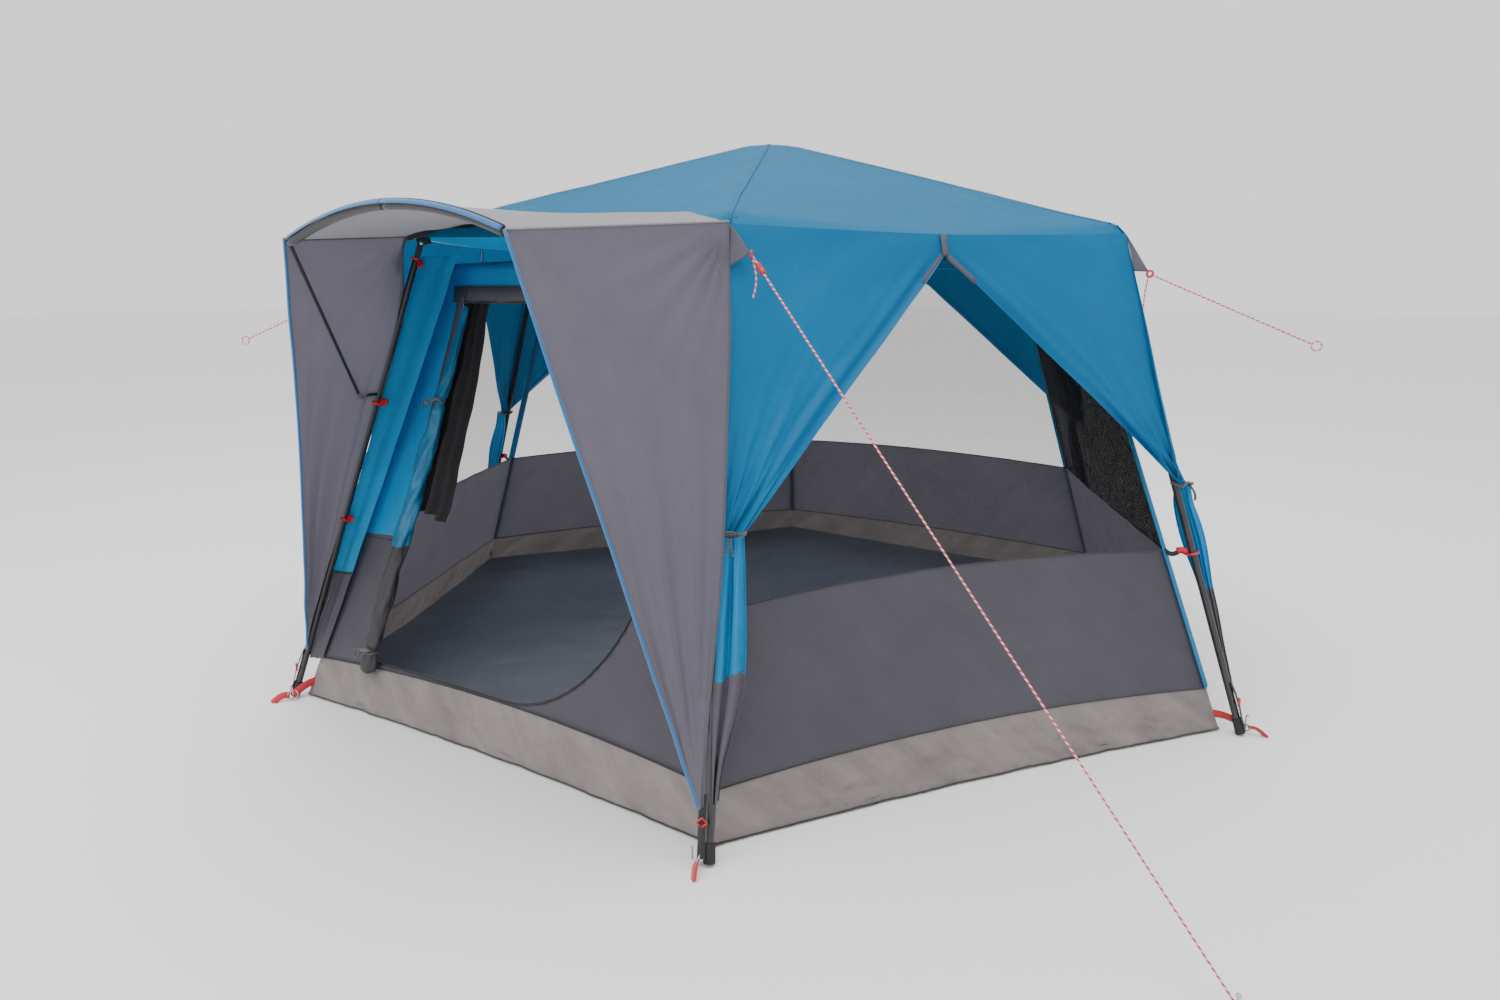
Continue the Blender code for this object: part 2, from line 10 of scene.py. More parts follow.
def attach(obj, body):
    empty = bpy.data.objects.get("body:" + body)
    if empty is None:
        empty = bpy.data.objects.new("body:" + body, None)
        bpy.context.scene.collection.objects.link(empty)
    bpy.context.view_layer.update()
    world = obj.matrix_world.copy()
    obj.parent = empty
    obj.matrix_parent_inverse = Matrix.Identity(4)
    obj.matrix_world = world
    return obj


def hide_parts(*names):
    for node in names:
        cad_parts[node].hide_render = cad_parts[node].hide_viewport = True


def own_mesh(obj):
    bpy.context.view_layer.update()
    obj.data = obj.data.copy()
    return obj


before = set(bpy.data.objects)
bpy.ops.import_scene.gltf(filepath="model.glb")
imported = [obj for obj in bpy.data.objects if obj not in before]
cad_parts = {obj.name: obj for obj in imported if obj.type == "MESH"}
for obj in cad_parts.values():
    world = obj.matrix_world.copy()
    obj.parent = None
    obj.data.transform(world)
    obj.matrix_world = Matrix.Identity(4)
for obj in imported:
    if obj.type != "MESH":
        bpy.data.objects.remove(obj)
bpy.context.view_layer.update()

# ---------------------------------------------------------------- the frame's own dimensions, in metres
CORNERS = {"L": -120, "F": -60, "R": 0, "R2": 60, "B": 120, "L2": 180}
ORDER = ["L", "F", "R", "R2", "B", "L2"]
FRONT = ("L", "F")
EAVE_Z = 1.60
ELBOW_R = 1.357
ELBOW_OFFSET = 0.030
FOOT_R = 1.896
HUB_PIVOT_R = 0.075
HUB_PIVOT_Z = 1.935
ROOF_POLE = 1.3247

FLY_CORNER_R = 1.425
FLY_MID_Z = 1.605
FLY_MID_IN = 0.035
EDGE_R = 1.402
EDGE_BEND_R = 1.366
EDGE_Z = 1.620
EDGE_DROP = 0.0245
PEAK_R = 0.095
PEAK_Z = 1.990
PEAK_RISE = 0.006

WALL_REACH = {"L": 1.848, "F": 1.800, "R": 1.826, "R2": 1.815, "B": 1.815, "L2": 1.826}
WALL_NETS = {"F": "net_near", "R": "net_dense", "R2": "net", "B": "net", "L2": "net_side"}
FLOOR_R = 1.810
WALL_TOP_R = 1.250
WALL_TOP_Z = 1.530
WALL_FOOT_Z = 0.006
BOW_IN = 0.032
BOW_TOP = 0.030
BAND_Z = 0.137
BAND_RISE = 0.026
SEAM_Z = 0.600
SEAM_RISE = 0.030
DOOR_SEAM_Z = 0.575

TIE_Z = 0.820
TAIL_BLUE_Z = 0.460
TAIL_Z = 0.150
LEG_TO_CURTAIN = 0.045
CURTAIN_GAP = 0.09
STRIP_TOP = 1.556
STRIP_HEM = 0.450
STRIP_FOOT = 0.140

AWNING_HALF = 0.464
AWNING_Y = -1.794
AWNING_Z = 1.576
AWNING_RISE = 0.083
STRUT_SHARE = 0.675

DOOR_RIGHT = 0.525
DOOR_SILL = 0.174
DOOR_HEAD = 1.395
ROLL_TIES = (0.26, 0.94)

CLOTH_THICK = 0.0008
ROPE_R = 0.0025
GUY_TAB_R = 0.135
GUY_TAB_Z = 1.490
GUY_START_F = (0.795, -1.240, 1.533)
GUY_ENDS = {"F": (2.150, -1.450, 0.030), "R": (1.975, 0.012, 1.282), "L": (-1.215, -1.535, 1.268)}

# ---------------------------------------------------------------- colours that several looks share, linear
BLACK = (0.010, 0.010, 0.011)
RED = (0.560, 0.010, 0.020)


# ---------------------------------------------------------------- vectors
def radial(angle):
    a = radians(angle)
    return Vector((cos(a), sin(a), 0))


def tangent(angle):
    a = radians(angle)
    return Vector((-sin(a), cos(a), 0))


def up(z):
    return Vector((0, 0, z))


def at(angle, radius, z):
    return radial(angle) * radius + up(z)


def mix(a, b, t):
    return a * (1 - t) + b * t


def steps(count, first=0, last=1):
    """Even values from first to last, count of them after the first."""
    return [mix(first, last, i / count) for i in range(count + 1)]


def smooth(t):
    t = min(1, max(0, t))
    return t * t * (3 - 2 * t)


def elbow(angle):
    return at(angle, ELBOW_R, EAVE_Z)


def leg_point(angle, share):
    return mix(at(angle, FOOT_R, 0), elbow(angle), share)


def leg_at(angle, z):
    """The leg's axis at a height."""
    return leg_point(angle, z / EAVE_Z)


def leg_down(angle):
    return (at(angle, FOOT_R, 0) - elbow(angle)).normalized()


def square_to(vector, axis):
    """A vector without its part along a unit axis."""
    return vector - axis * vector.dot(axis)


def ripple(p, scale, seed=0.0):
    """Smooth noise, -1 to 1, at a point."""
    return noise.noise(Vector((p[0] * scale + seed, p[1] * scale - seed, p[2] * scale + 2 * seed)))


def next_corner(corner):
    return ORDER[(ORDER.index(corner) + 1) % 6]


# ---------------------------------------------------------------- material nodes
def nodes_of(name, colour, roughness, metallic=0.0):
    made = bpy.data.materials.new(name)
    made.use_nodes = True
    tree = made.node_tree
    shader = tree.nodes["Principled BSDF"]
    shader.inputs["Base Color"].default_value = (*colour, 1)
    shader.inputs["Roughness"].default_value = roughness
    shader.inputs["Metallic"].default_value = metallic
    return made, tree, shader


def node(tree, kind, **inputs):
    made = tree.nodes.new(kind)
    for key, value in inputs.items():
        made.inputs[key].default_value = value
    return made


def math_node(tree, operation, *values):
    made = tree.nodes.new("ShaderNodeMath")
    made.operation = operation
    for i, value in enumerate(values):
        if isinstance(value, (int, float)):
            made.inputs[i].default_value = value
        else:
            tree.links.new(value, made.inputs[i])
    return made.outputs[0]


def add(tree, a, b):
    return math_node(tree, "ADD", a, b)


def times(tree, a, b):
    return math_node(tree, "MULTIPLY", a, b)


def sine(tree, angle):
    return math_node(tree, "SINE", angle)


def wave(tree, angle):
    """A sine that runs from 0 to 1."""
    return add(tree, times(tree, sine(tree, angle), 0.5), 0.5)


def object_space(tree):
    return tree.nodes.new("ShaderNodeTexCoord").outputs["Object"]


def cloth_uv(tree):
    """The UV in metres: whole, along and across."""
    uv = tree.nodes.new("ShaderNodeUVMap")
    uv.uv_map = "cloth"
    split = tree.nodes.new("ShaderNodeSeparateXYZ")
    tree.links.new(uv.outputs[0], split.inputs[0])
    return uv.outputs[0], split.outputs[0], split.outputs[1]


def noise_at(tree, vector, scale, detail=4.0, rough=0.55, stretch=None):
    if stretch:
        mapping = node(tree, "ShaderNodeMapping", Scale=stretch)
        tree.links.new(vector, mapping.inputs["Vector"])
        vector = mapping.outputs[0]
    made = node(tree, "ShaderNodeTexNoise", Scale=scale, Detail=detail, Roughness=rough)
    tree.links.new(vector, made.inputs["Vector"])
    return made.outputs["Fac"]


def paint(tree, shader, value, stops):
    """The shader's colour, from a ramp of (place, colour) stops along value."""
    made = tree.nodes.new("ShaderNodeValToRGB")
    elements = made.color_ramp.elements
    while len(elements) < len(stops):
        elements.new(0.5)
    for element, (place, colour) in zip(elements, stops):
        element.position = place
        element.color = (*colour, 1)
    tree.links.new(value, made.inputs[0])
    tree.links.new(made.outputs[0], shader.inputs["Base Color"])
    return made.outputs[0]


def dull(tree, shader, value, spread, least):
    """The shader's roughness, from least up by spread times value."""
    tree.links.new(add(tree, times(tree, value, spread), least), shader.inputs["Roughness"])


def shade(colour, by):
    return tuple(min(1, max(0, c * by)) for c in colour)


def lifted(colour, by):
    return tuple(c + by for c in colour)


def bump(tree, shader, layers):
    """Chains bump layers of (height, strength, distance) into the shader's normal."""
    normal = None
    for height, strength, distance in layers:
        made = node(tree, "ShaderNodeBump", Strength=strength, Distance=distance)
        tree.links.new(height, made.inputs["Height"])
        if normal:
            tree.links.new(normal, made.inputs["Normal"])
        normal = made.outputs[0]
    tree.links.new(normal, shader.inputs["Normal"])


# ---------------------------------------------------------------- materials
def cloth(
    name, colour, rough=0.62, thread=0.0012, crinkle=0.5, vary=0.16, sheen=0.06, alpha=None, drape=0.5,
    glow=0.0, lines=0.10,
):
    """Coated plain-woven cloth: threads, tension creases, soft crinkles and uneven colour, with painted shade
    along the creases.
    Alpha makes it a net; glow is the share of the light that comes through it."""
    made, tree, shader = nodes_of(name, colour, rough)
    shader.inputs["Sheen Weight"].default_value = sheen
    shader.inputs["Sheen Roughness"].default_value = 0.45
    shader.inputs["Specular IOR Level"].default_value = 0.30 if alpha is None else 0.10
    uv, along, across = cloth_uv(tree)
    space = object_space(tree)
    turn = 2 * pi / thread
    weave = times(tree, sine(tree, times(tree, along, turn)), sine(tree, times(tree, across, turn)))
    broad = noise_at(tree, space, 1.7, 3.0)
    soft = noise_at(tree, space, 9.0, 5.0, 0.6)
    fine = noise_at(tree, space, 55.0, 4.0, 0.65)
    turned = node(tree, "ShaderNodeMapping", Rotation=(0, 0, 0.75), Scale=(0.070, 0.42, 1))
    turned.vector_type = "TEXTURE"
    tree.links.new(uv, turned.inputs["Vector"])
    creases = noise_at(tree, turned.outputs[0], 1.0, 5.0)
    tone = add(tree, times(tree, broad, 0.55), times(tree, soft, 0.25))
    tone = add(tree, tone, times(tree, fine, 0.20))
    tone = add(tree, tone, times(tree, weave, 0.012))
    # Painted shade: lines paints the crease pattern into the colour, darker and lighter where the folds turn
    # from the light.
    if alpha is None:
        tone = add(tree, tone, times(tree, add(tree, creases, -0.5), lines))
    low, high = shade(colour, 1 - vary), shade(colour, 1 + vary)
    tint = paint(tree, shader, tone, [(0.30, low), (0.50, colour), (0.70, high)])
    dull(tree, shader, soft, 0.22, rough - 0.11)
    creased = (creases, 0.35 * drape, 0.012)
    crinkled = (soft, 0.40 * crinkle, 0.012)
    grained = (fine, 0.22 * crinkle, 0.002)
    bump(tree, shader, [creased, crinkled, grained, (weave, 0.10, 0.0002)])
    if alpha is not None:
        tree.links.new(add(tree, times(tree, fine, 0.10), alpha - 0.05), shader.inputs["Alpha"])
    if glow:
        through = tree.nodes.new("ShaderNodeBsdfTranslucent")
        tree.links.new(tint, through.inputs["Color"])
        both = node(tree, "ShaderNodeMixShader", Fac=glow)
        tree.links.new(shader.outputs[0], both.inputs[1])
        tree.links.new(through.outputs[0], both.inputs[2])
        tree.links.new(both.outputs[0], tree.nodes["Material Output"].inputs["Surface"])
    return made


def net(name, colour, alpha, rough=0.85, crinkle=0.6):
    """Fine mesh: an open weave that shows what is behind it, unless alpha is None."""
    return cloth(name, colour, rough, thread=0.0018, crinkle=crinkle, sheen=0.0, alpha=alpha)


def plastic(name, colour, rough=0.45, grain=220.0):
    made, tree, shader = nodes_of(name, colour, rough)
    space = object_space(tree)
    wear = noise_at(tree, space, 26.0, 5.0, 0.7)
    dusty = lifted(shade(colour, 0.9), 0.025)
    paint(tree, shader, wear, [(0.35, shade(colour, 0.85)), (0.62, colour), (0.80, dusty)])
    dull(tree, shader, wear, 0.25, rough - 0.12)
    bump(tree, shader, [(noise_at(tree, space, grain, 3.0), 0.15, 0.0004)])
    return made


def enamel(name, colour, rough=0.30):
    """Painted tube: an even satin coat with rub marks and dust."""
    made, tree, shader = nodes_of(name, colour, rough)
    shader.inputs["Coat Weight"].default_value = 0.35
    shader.inputs["Coat Roughness"].default_value = 0.22
    space = object_space(tree)
    dust = noise_at(tree, space, 14.0, 6.0, 0.7)
    rub = noise_at(tree, space, 60.0, 4.0, 0.6, (1, 1, 0.15))
    stops = [(0.20, colour), (0.42, lifted(colour, 0.012)), (0.60, lifted(colour, 0.05))]
    paint(tree, shader, times(tree, dust, rub), stops)
    dull(tree, shader, rub, 0.3, rough - 0.12)
    bump(tree, shader, [(rub, 0.08, 0.0004)])
    return made


def metal(name, colour, rough=0.28):
    made, tree, shader = nodes_of(name, colour, rough, 1.0)
    space = object_space(tree)
    brush = noise_at(tree, space, 180.0, 3.0, 0.5, (1, 1, 0.1))
    stain = noise_at(tree, space, 30.0, 5.0, 0.6)
    paint(tree, shader, stain, [(0.35, shade(colour, 0.7)), (0.6, colour)])
    dull(tree, shader, brush, 0.25, rough - 0.1)
    bump(tree, shader, [(brush, 0.2, 0.0003)])
    return made


def webbing(name, colour, pitch=0.0028):
    """Flat woven strap: ribs across its width, with painted shade in the grooves between them."""
    made, tree, shader = nodes_of(name, colour, 0.7)
    shader.inputs["Sheen Weight"].default_value = 0.3
    _, along, _ = cloth_uv(tree)
    rib = wave(tree, times(tree, along, 2 * pi / pitch))
    # Painted shade: the colour is darker between the ribs.
    paint(tree, shader, rib, [(0.0, shade(colour, 0.6)), (0.7, colour)])
    bump(tree, shader, [(rib, 0.5, 0.0006)])
    return made


def braid(name, colour, fleck, pitch):
    """Round braided cord: strands that cross, with a fleck of a second colour at an even pitch."""
    made, tree, shader = nodes_of(name, colour, 0.65)
    shader.inputs["Sheen Weight"].default_value = 0.3
    _, along, across = cloth_uv(tree)
    run = times(tree, along, 2 * pi / pitch)
    turn = times(tree, across, 2 * pi)
    strands = sine(tree, times(tree, add(tree, run, times(tree, turn, 2.0)), 4.0))
    paint(tree, shader, wave(tree, add(tree, run, turn)), [(0.45, colour), (0.62, fleck)])
    bump(tree, shader, [(strands, 0.4, 0.0006)])
    return made


M = {
    "blue": cloth("blue_fly", (0.004, 0.165, 0.370), 0.58, crinkle=1.0, vary=0.13, sheen=0.0, glow=0.32),
    # Painted light: the roof is a lighter copy of the fly's blue, for the light that falls on its top.
    "blue_top": cloth("blue_roof_painted_light", (0.003, 0.195, 0.400), 0.58, crinkle=0.9, vary=0.10, sheen=0.0, glow=0.40),
    # Painted light: a much lighter blue that brightens the door wall, door strips, tails and corner bindings
    # against the shade they stand in.
    "blue_wall": cloth("blue_inner_painted_light", (0.022, 0.340, 0.650), crinkle=0.8, sheen=0.0, glow=0.45),
    # Painted shade: the rolled door is a darker copy of its blue, for the shade between its turns.
    "blue_roll_painted_shade": cloth("blue_rolled_painted_shade", (0.006, 0.110, 0.220), 0.42, crinkle=1.6, vary=0.25),
    "grey": cloth("grey_awning", (0.160, 0.150, 0.185), 0.60, crinkle=0.8, vary=0.10, glow=0.42),
    # Painted light: the canopy top is a lighter copy of the awning grey, for the light that falls on top.
    "grey_top": cloth("grey_canopy_painted_light", (0.285, 0.280, 0.295), 0.55, crinkle=0.8, vary=0.08, glow=0.24),
    "wall": cloth(
        "grey_wall", (0.112, 0.106, 0.128), crinkle=1.0, vary=0.13, drape=1.2, glow=0.42, lines=0.35
    ),
    # Painted shade: a darker copy of the wall grey, for the shade inside the roll.
    "wall_roll_painted_shade": cloth("grey_rolled_painted_shade", (0.032, 0.030, 0.034), crinkle=1.6, vary=0.25),
    "band": cloth(
        "beige_band", (0.235, 0.205, 0.196), 0.55, crinkle=1.6, vary=0.20, drape=2.2, glow=0.20, lines=0.9
    ),
    "floor": cloth("floor_cloth_grey", (0.190, 0.205, 0.245), 0.40, crinkle=1.6, vary=0.2, drape=0.8),
    "net": net("window_net", (0.020, 0.020, 0.022), 0.34),
    "net_side": net("left_net", (0.018, 0.018, 0.020), 0.46, 0.90),
    "net_dense": net("right_net", (0.010, 0.010, 0.011), 0.985, 0.95, 0.8),
    "net_near": net("front_net", (0.020, 0.020, 0.022), 0.15),
    "net_door": net("door_net", (0.012, 0.012, 0.014), None, crinkle=1.2),
    "ceiling": net("ceiling_net", (0.060, 0.080, 0.100), 0.30, 0.80, 0.5),
    "trim": webbing("black_tape", (0.012, 0.012, 0.014)),
    "piping": webbing("blue_piping", (0.005, 0.129, 0.354), 0.004),
    "red_web": webbing("red_webbing", RED),
    "red": plastic("red_plastic", RED, 0.38),
    "black": plastic("black_plastic", BLACK, 0.42),
    "rubber": plastic("foot_rubber", (0.014, 0.014, 0.015), 0.75, 120.0),
    "pole": enamel("black_enamel", BLACK),
    "rod": enamel("black_rod", (0.012, 0.012, 0.013), 0.35),
    "steel": metal("plated_steel", (0.560, 0.560, 0.570)),
    "rope": braid("guy_braid", (0.560, 0.030, 0.055), (0.82, 0.50, 0.52), 0.016),
    "cord": braid("dark_cord", (0.035, 0.035, 0.042), (0.06, 0.06, 0.07), 0.01),
}


# ---------------------------------------------------------------- mesh helpers
def put(name, data):
    """A new object in the scene."""
    obj = bpy.data.objects.new(name, data)
    bpy.context.scene.collection.objects.link(obj)
    return obj


def link(name, mesh, mats):
    for mat in mats if isinstance(mats, (list, tuple)) else [mats]:
        mesh.materials.append(M[mat])
    for polygon in mesh.polygons:
        polygon.use_smooth = True
    return put(name, mesh)


def lay_uv(mesh, uv_of):
    """The UV map, from uv_of(face index, vertex index)."""
    layer = mesh.uv_layers.new(name="cloth")
    for polygon in mesh.polygons:
        for corner in polygon.loop_indices:
            layer.data[corner].uv = uv_of(polygon.index, mesh.loops[corner].vertex_index)


def path_length(points):
    return sum((b - a).length for a, b in zip(points, points[1:]))


def heading(points, i):
    """The way a path runs at its point i."""
    return (points[min(i + 1, len(points) - 1)] - points[max(i - 1, 0)]).normalized()


def polar(centre, side, other, radius, a):
    return centre + side * (radius * cos(a)) + other * (radius * sin(a))


def surface(name, fn, nu, nv, mats, pick=None, thick=0):
    """A sheet through fn(u, v), u and v from 0 to 1; pick(u, v) gives a face's material index."""
    points = [fn(u, v) for u in steps(nu) for v in steps(nv)]
    row = nv + 1
    starts = [i * row + j for i in range(nu) for j in range(nv)]
    wide = max(path_length(points[j::row]) for j in (0, nv // 2, nv))
    long = max(path_length(points[i * row : (i + 1) * row]) for i in (0, nu // 2, nu))
    mesh = bpy.data.meshes.new(name)
    mesh.from_pydata(points, [], [(k, k + row, k + row + 1, k + 1) for k in starts])

    def uv_of(face, vertex):
        i, j = divmod(vertex, row)
        return i / nu * wide, j / nv * long

    lay_uv(mesh, uv_of)
    obj = link(name, mesh, mats)
    if pick:
        for k, polygon in enumerate(mesh.polygons):
            i, j = divmod(k, nv)
            polygon.material_index = pick((i + 0.5) / nu, (j + 0.5) / nv)
    if thick:
        solid = obj.modifiers.new("Thickness", "SOLIDIFY")
        solid.thickness = thick
        solid.offset = 0
    obj["flat"] = (max(wide, 0.011), max(long, 0.011))
    obj["area"] = sum(polygon.area for polygon in mesh.polygons)
    return obj


def declare(obj):
    """Works out the size a sheet was cut to, from its flat size and area, and keeps nothing."""
    wide, long = obj["flat"]
    area = obj["area"]
    if area > wide * long:
        long = area / wide * 1.002
    max(area, 0.31 * wide * long)


def tube_mesh(name, points, radius, mat, sides=8, taper=None):
    """A round tube along points, with caps; its UV runs along it in metres."""
    last = len(points) - 1
    lengths = [path_length(points[: i + 1]) for i in range(last + 1)]
    verts = []
    side = heading(points, 0).orthogonal()
    for i, point in enumerate(points):
        ahead = heading(points, i)
        side = square_to(side, ahead).normalized()
        r = radius * (taper(i / last) if taper else 1)
        verts += [polar(point, side, ahead.cross(side), r, a) for a in steps(sides, 0, 2 * pi)[:-1]]
    faces = []
    for i in range(last):
        for k in range(sides):
            n = (k + 1) % sides
            faces.append((i * sides + k, i * sides + n, (i + 1) * sides + n, (i + 1) * sides + k))
    body = len(faces)
    faces.append(tuple(reversed(range(sides))))
    faces.append(tuple(range(last * sides, (last + 1) * sides)))
    mesh = bpy.data.meshes.new(name)
    mesh.from_pydata(verts, [], faces)

    def uv_of(face, vertex):
        i, k = divmod(vertex, sides)
        if face < body and face % sides == sides - 1 and k == 0:
            k = sides
        return lengths[i], k / sides

    lay_uv(mesh, uv_of)
    return link(name, mesh, mat)


def ribbon(name, points, width, facing, mat, thick=0.0014):
    """A flat strap along points, with its face looking along facing."""
    last = len(points) - 1
    rows = []
    for i, point in enumerate(points):
        half = heading(points, i).cross(facing).normalized() * (width / 2)
        rows.append((point - half, point, point + half))
    return surface(name, lambda u, v: rows[round(u * last)][round(v * 2)], last, 2, mat, thick=thick)


def evaluated(obj):
    """The object's mesh with its modifiers made real."""
    return bpy.data.meshes.new_from_object(obj.evaluated_get(bpy.context.evaluated_depsgraph_get()))


def joined(name, parts):
    """Several meshes made one piece."""
    form = bmesh.new()
    mats = []
    form.loops.layers.uv.new("cloth")
    for part in parts:
        mesh = evaluated(part)
        start = len(form.faces)
        form.from_mesh(mesh)
        form.faces.ensure_lookup_table()
        for face in form.faces[start:]:
            mat = mesh.materials[face.material_index] if mesh.materials else None
            if mat not in mats:
                mats.append(mat)
            face.material_index = mats.index(mat)
    merged = bpy.data.meshes.new(name)
    form.to_mesh(merged)
    form.free()
    for mat in mats:
        merged.materials.append(mat)
    for part in parts:
        bpy.data.objects.remove(part)
    return put(name, merged)


def ring_points(centre, axis, radius, count=14, start=0.0, turn=360.0):
    side = axis.orthogonal().normalized()
    other = axis.normalized().cross(side)
    return [polar(centre, side, other, radius, radians(a)) for a in steps(count, start, start + turn)]


# ---------------------------------------------------------------- what pieces are and what they move with
def stands_in(node_name):
    """A piece drawn in place of a CAD node."""
    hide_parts(node_name)


def folds(obj, body, way, anchor):
    """A piece that moves with a body, with a mesh of its own; way and anchor are not used."""
    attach(obj, body)
    tuple(Vector(way).normalized())
    tuple(anchor)
    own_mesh(obj)


def rests_flat(obj):
    """A piece of the inner tent: it moves with the inner tent's body."""
    folds(obj, "inner_tent", (0, 0, 1), (0, 0, 0.008))


# ---------------------------------------------------------------- camera, light, floor
def set_stage():
    yaw, pitch = radians(125.65), 0.206
    look = Vector((cos(yaw) * cos(pitch), sin(yaw) * cos(pitch), -sin(pitch)))
    camera = put("camera", bpy.data.cameras.new("camera"))
    camera.location = (2.419, -3.513, 1.4544)
    camera.rotation_euler = look.to_track_quat("-Z", "Y").to_euler()
    camera.data.lens = 24.62
    camera.data.sensor_width = 36
    camera.data.clip_end = 200
    bpy.context.scene.camera = camera

    world = bpy.data.worlds.new("studio")
    world.use_nodes = True
    world.node_tree.nodes["Background"].inputs[0].default_value = (1, 1, 1, 1)
    world.node_tree.nodes["Background"].inputs[1].default_value = 1.25
    bpy.context.scene.world = world

    for name, place, size, power, aim in (
        ("key", (1.5, -3.0, 6.5), 5.0, 210, (0, 0, 1)),
        ("fill", (-1.2, -5.5, 1.3), 2.4, 70, (-0.4, -1.3, 0.9)),
        ("top", (-1.0, 1.0, 7.0), 6.0, 150, (0, 0, 1)),
    ):
        lamp = bpy.data.lights.new(name, "AREA")
        lamp.size = size
        lamp.energy = power
        obj = put(name, lamp)
        obj.location = place
        obj.rotation_euler = (Vector(aim) - Vector(place)).to_track_quat("-Z", "Y").to_euler()
        obj.visible_camera = False

    mesh = bpy.data.meshes.new("studio_floor")
    mesh.from_pydata([(-60, -60, 0), (60, -60, 0), (60, 60, 0), (-60, 60, 0)], [], [(0, 1, 2, 3)])
    mesh.materials.append(nodes_of("studio_white", (0.93, 0.93, 0.93), 0.9)[0])
    ground = put("studio_floor", mesh)
    ground.location = (0, 0, -0.0005)


# ---------------------------------------------------------------- guy lines
def guy_start(corner):
    """Where a corner's guy line leaves its tab."""
    if corner == "F":
        return Vector(GUY_START_F)
    return at(CORNERS[corner], ELBOW_R + GUY_TAB_R, GUY_TAB_Z)


def make_guys():
    for corner, end in GUY_ENDS.items():
        body = "leg_" + corner
        start, end = guy_start(corner), Vector(end)
        along = (end - start).normalized()
        level = Vector((along.x, along.y, 0))
        points = [mix(start, end, t) for t in steps(48)]
        rope = tube_mesh("guy_line_" + corner, points, ROPE_R, "rope")
        stands_in("guy_rope_" + corner)
        folds(rope, body, level, start)
        if corner != "F":
            loop = ring_points(end + along * 0.014, along.cross(up(1)), 0.014, 16)
            knot = tube_mesh("guy_loop_" + corner, loop, ROPE_R * 0.9, "rope")
            folds(knot, body, level, start)
        tuple(start)
        [tuple(p) for p in points]


# ---------------------------------------------------------------- fly roof
def roof_height(r, reach, edge_z):
    """The roof's height at a radius: a rounded peak, then a straight fall to edge_z at reach."""
    if r < PEAK_R:
        return PEAK_Z + PEAK_RISE * (1 - (r / PEAK_R) ** 2)
    return mix(PEAK_Z, edge_z, (r - PEAK_R) / (reach - PEAK_R))


def roof_line(angle, u):
    """A point on the ridge over a roof pole, from the peak at 0 to the corner at 1."""
    r = mix(0.004, EDGE_R, u)
    droop = EDGE_DROP * smooth((r - EDGE_BEND_R) / (EDGE_R - EDGE_BEND_R))
    return at(angle, r, roof_height(r, EDGE_R, EDGE_Z + EDGE_DROP) - droop)


def roof_middle(angle, u):
    apothem = FLY_CORNER_R * cos(radians(30)) - FLY_MID_IN
    r = mix(0.004, apothem, u)
    return at(angle, r, roof_height(r, apothem, FLY_MID_Z))


def roof_point(angle, side, u, v):
    """The fly's roof: u from the peak to the eave, v from the ridge to the middle of the side."""
    u = u**0.8
    near, far = roof_line(angle, u), roof_line(angle + 60 * side, u)
    middle = roof_middle(angle + 30 * side, u)
    sag = 0.45 * (1 - (1 - v) ** 2) + 0.55 * v
    place = mix(near, far, v / 2) + (middle - (near + far) / 2) * sag
    inside = smooth((1 - u) / 0.06)
    pull = 0.004 * sin(40 * v * u + 5 * ripple(place, 2.0)) * smooth((u - 0.45) / 0.5) * (1 - v) ** 1.5
    slack = 0.005 * ripple(place, 3.2, 5.0) * u + 0.003 * ripple(place, 8.0, 2.0) * u
    return place + up((pull + slack) * inside)


def make_roof():
    for corner in ORDER:
        angle = CORNERS[corner]
        for side in (-1, 1):
            name = "fly_top_%s_%s" % (corner, "a" if side < 0 else "b")
            piece = surface(name, lambda u, v: roof_point(angle, side, u, v), 44, 22, "blue_top")
            tip, mid, top = roof_line(angle, 1), roof_middle(angle + 30 * side, 1), roof_line(angle, 0.1)
            stands_in("fly_roof_" + corner)
            folds(piece, "roof_" + corner, square_to(mid - tip, (tip - top).normalized()), tip)
            declare(piece)
        seam = [roof_point(angle, 1, (i + 1) / 41, 0) + up(0.0014) for i in range(41)]
        tape = ribbon("fly_ridge_seam_" + corner, seam, 0.012, up(1), "blue_top", 0.0012)
        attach(tape, "roof_" + corner)


# ---------------------------------------------------------------- fly curtains
def side_way(angle, side):
    return tangent(angle) * (side * cos(radians(30))) - radial(angle) * sin(radians(30))


def beside_leg(obj, corner, side):
    """A piece of a curtain: it moves with its leg."""
    angle = CORNERS[corner]
    anchor = leg_at(angle, 1.2) + radial(angle) * LEG_TO_CURTAIN
    folds(obj, "leg_" + corner, side_way(angle, side), anchor)


def by_door(corner, side):
    return (corner, side) in (("L", 1), ("F", -1))


def door_strip_point(corner, side, u, v):
    """The narrow hanging half by the door, which passes behind the leg: blue to its hem, then grey."""
    angle = CORNERS[corner]
    leg = leg_at(angle, mix(STRIP_TOP, STRIP_FOOT, u)) - radial(angle) * 0.016
    width = mix(0.160, 0.034, u**1.15)
    fold = 0.003 * sin(3 * pi * v + 2 * u) + 0.003 * ripple((v * 2, u * 8, angle), 1.5)
    flat = leg + side_way(angle, side) * (width * v) - radial(angle) * (0.022 * v)
    return flat + radial(angle + 30 * side) * fold


def strip_tint(u, v):
    return 0 if mix(STRIP_TOP, STRIP_FOOT, u) > STRIP_HEM else 1


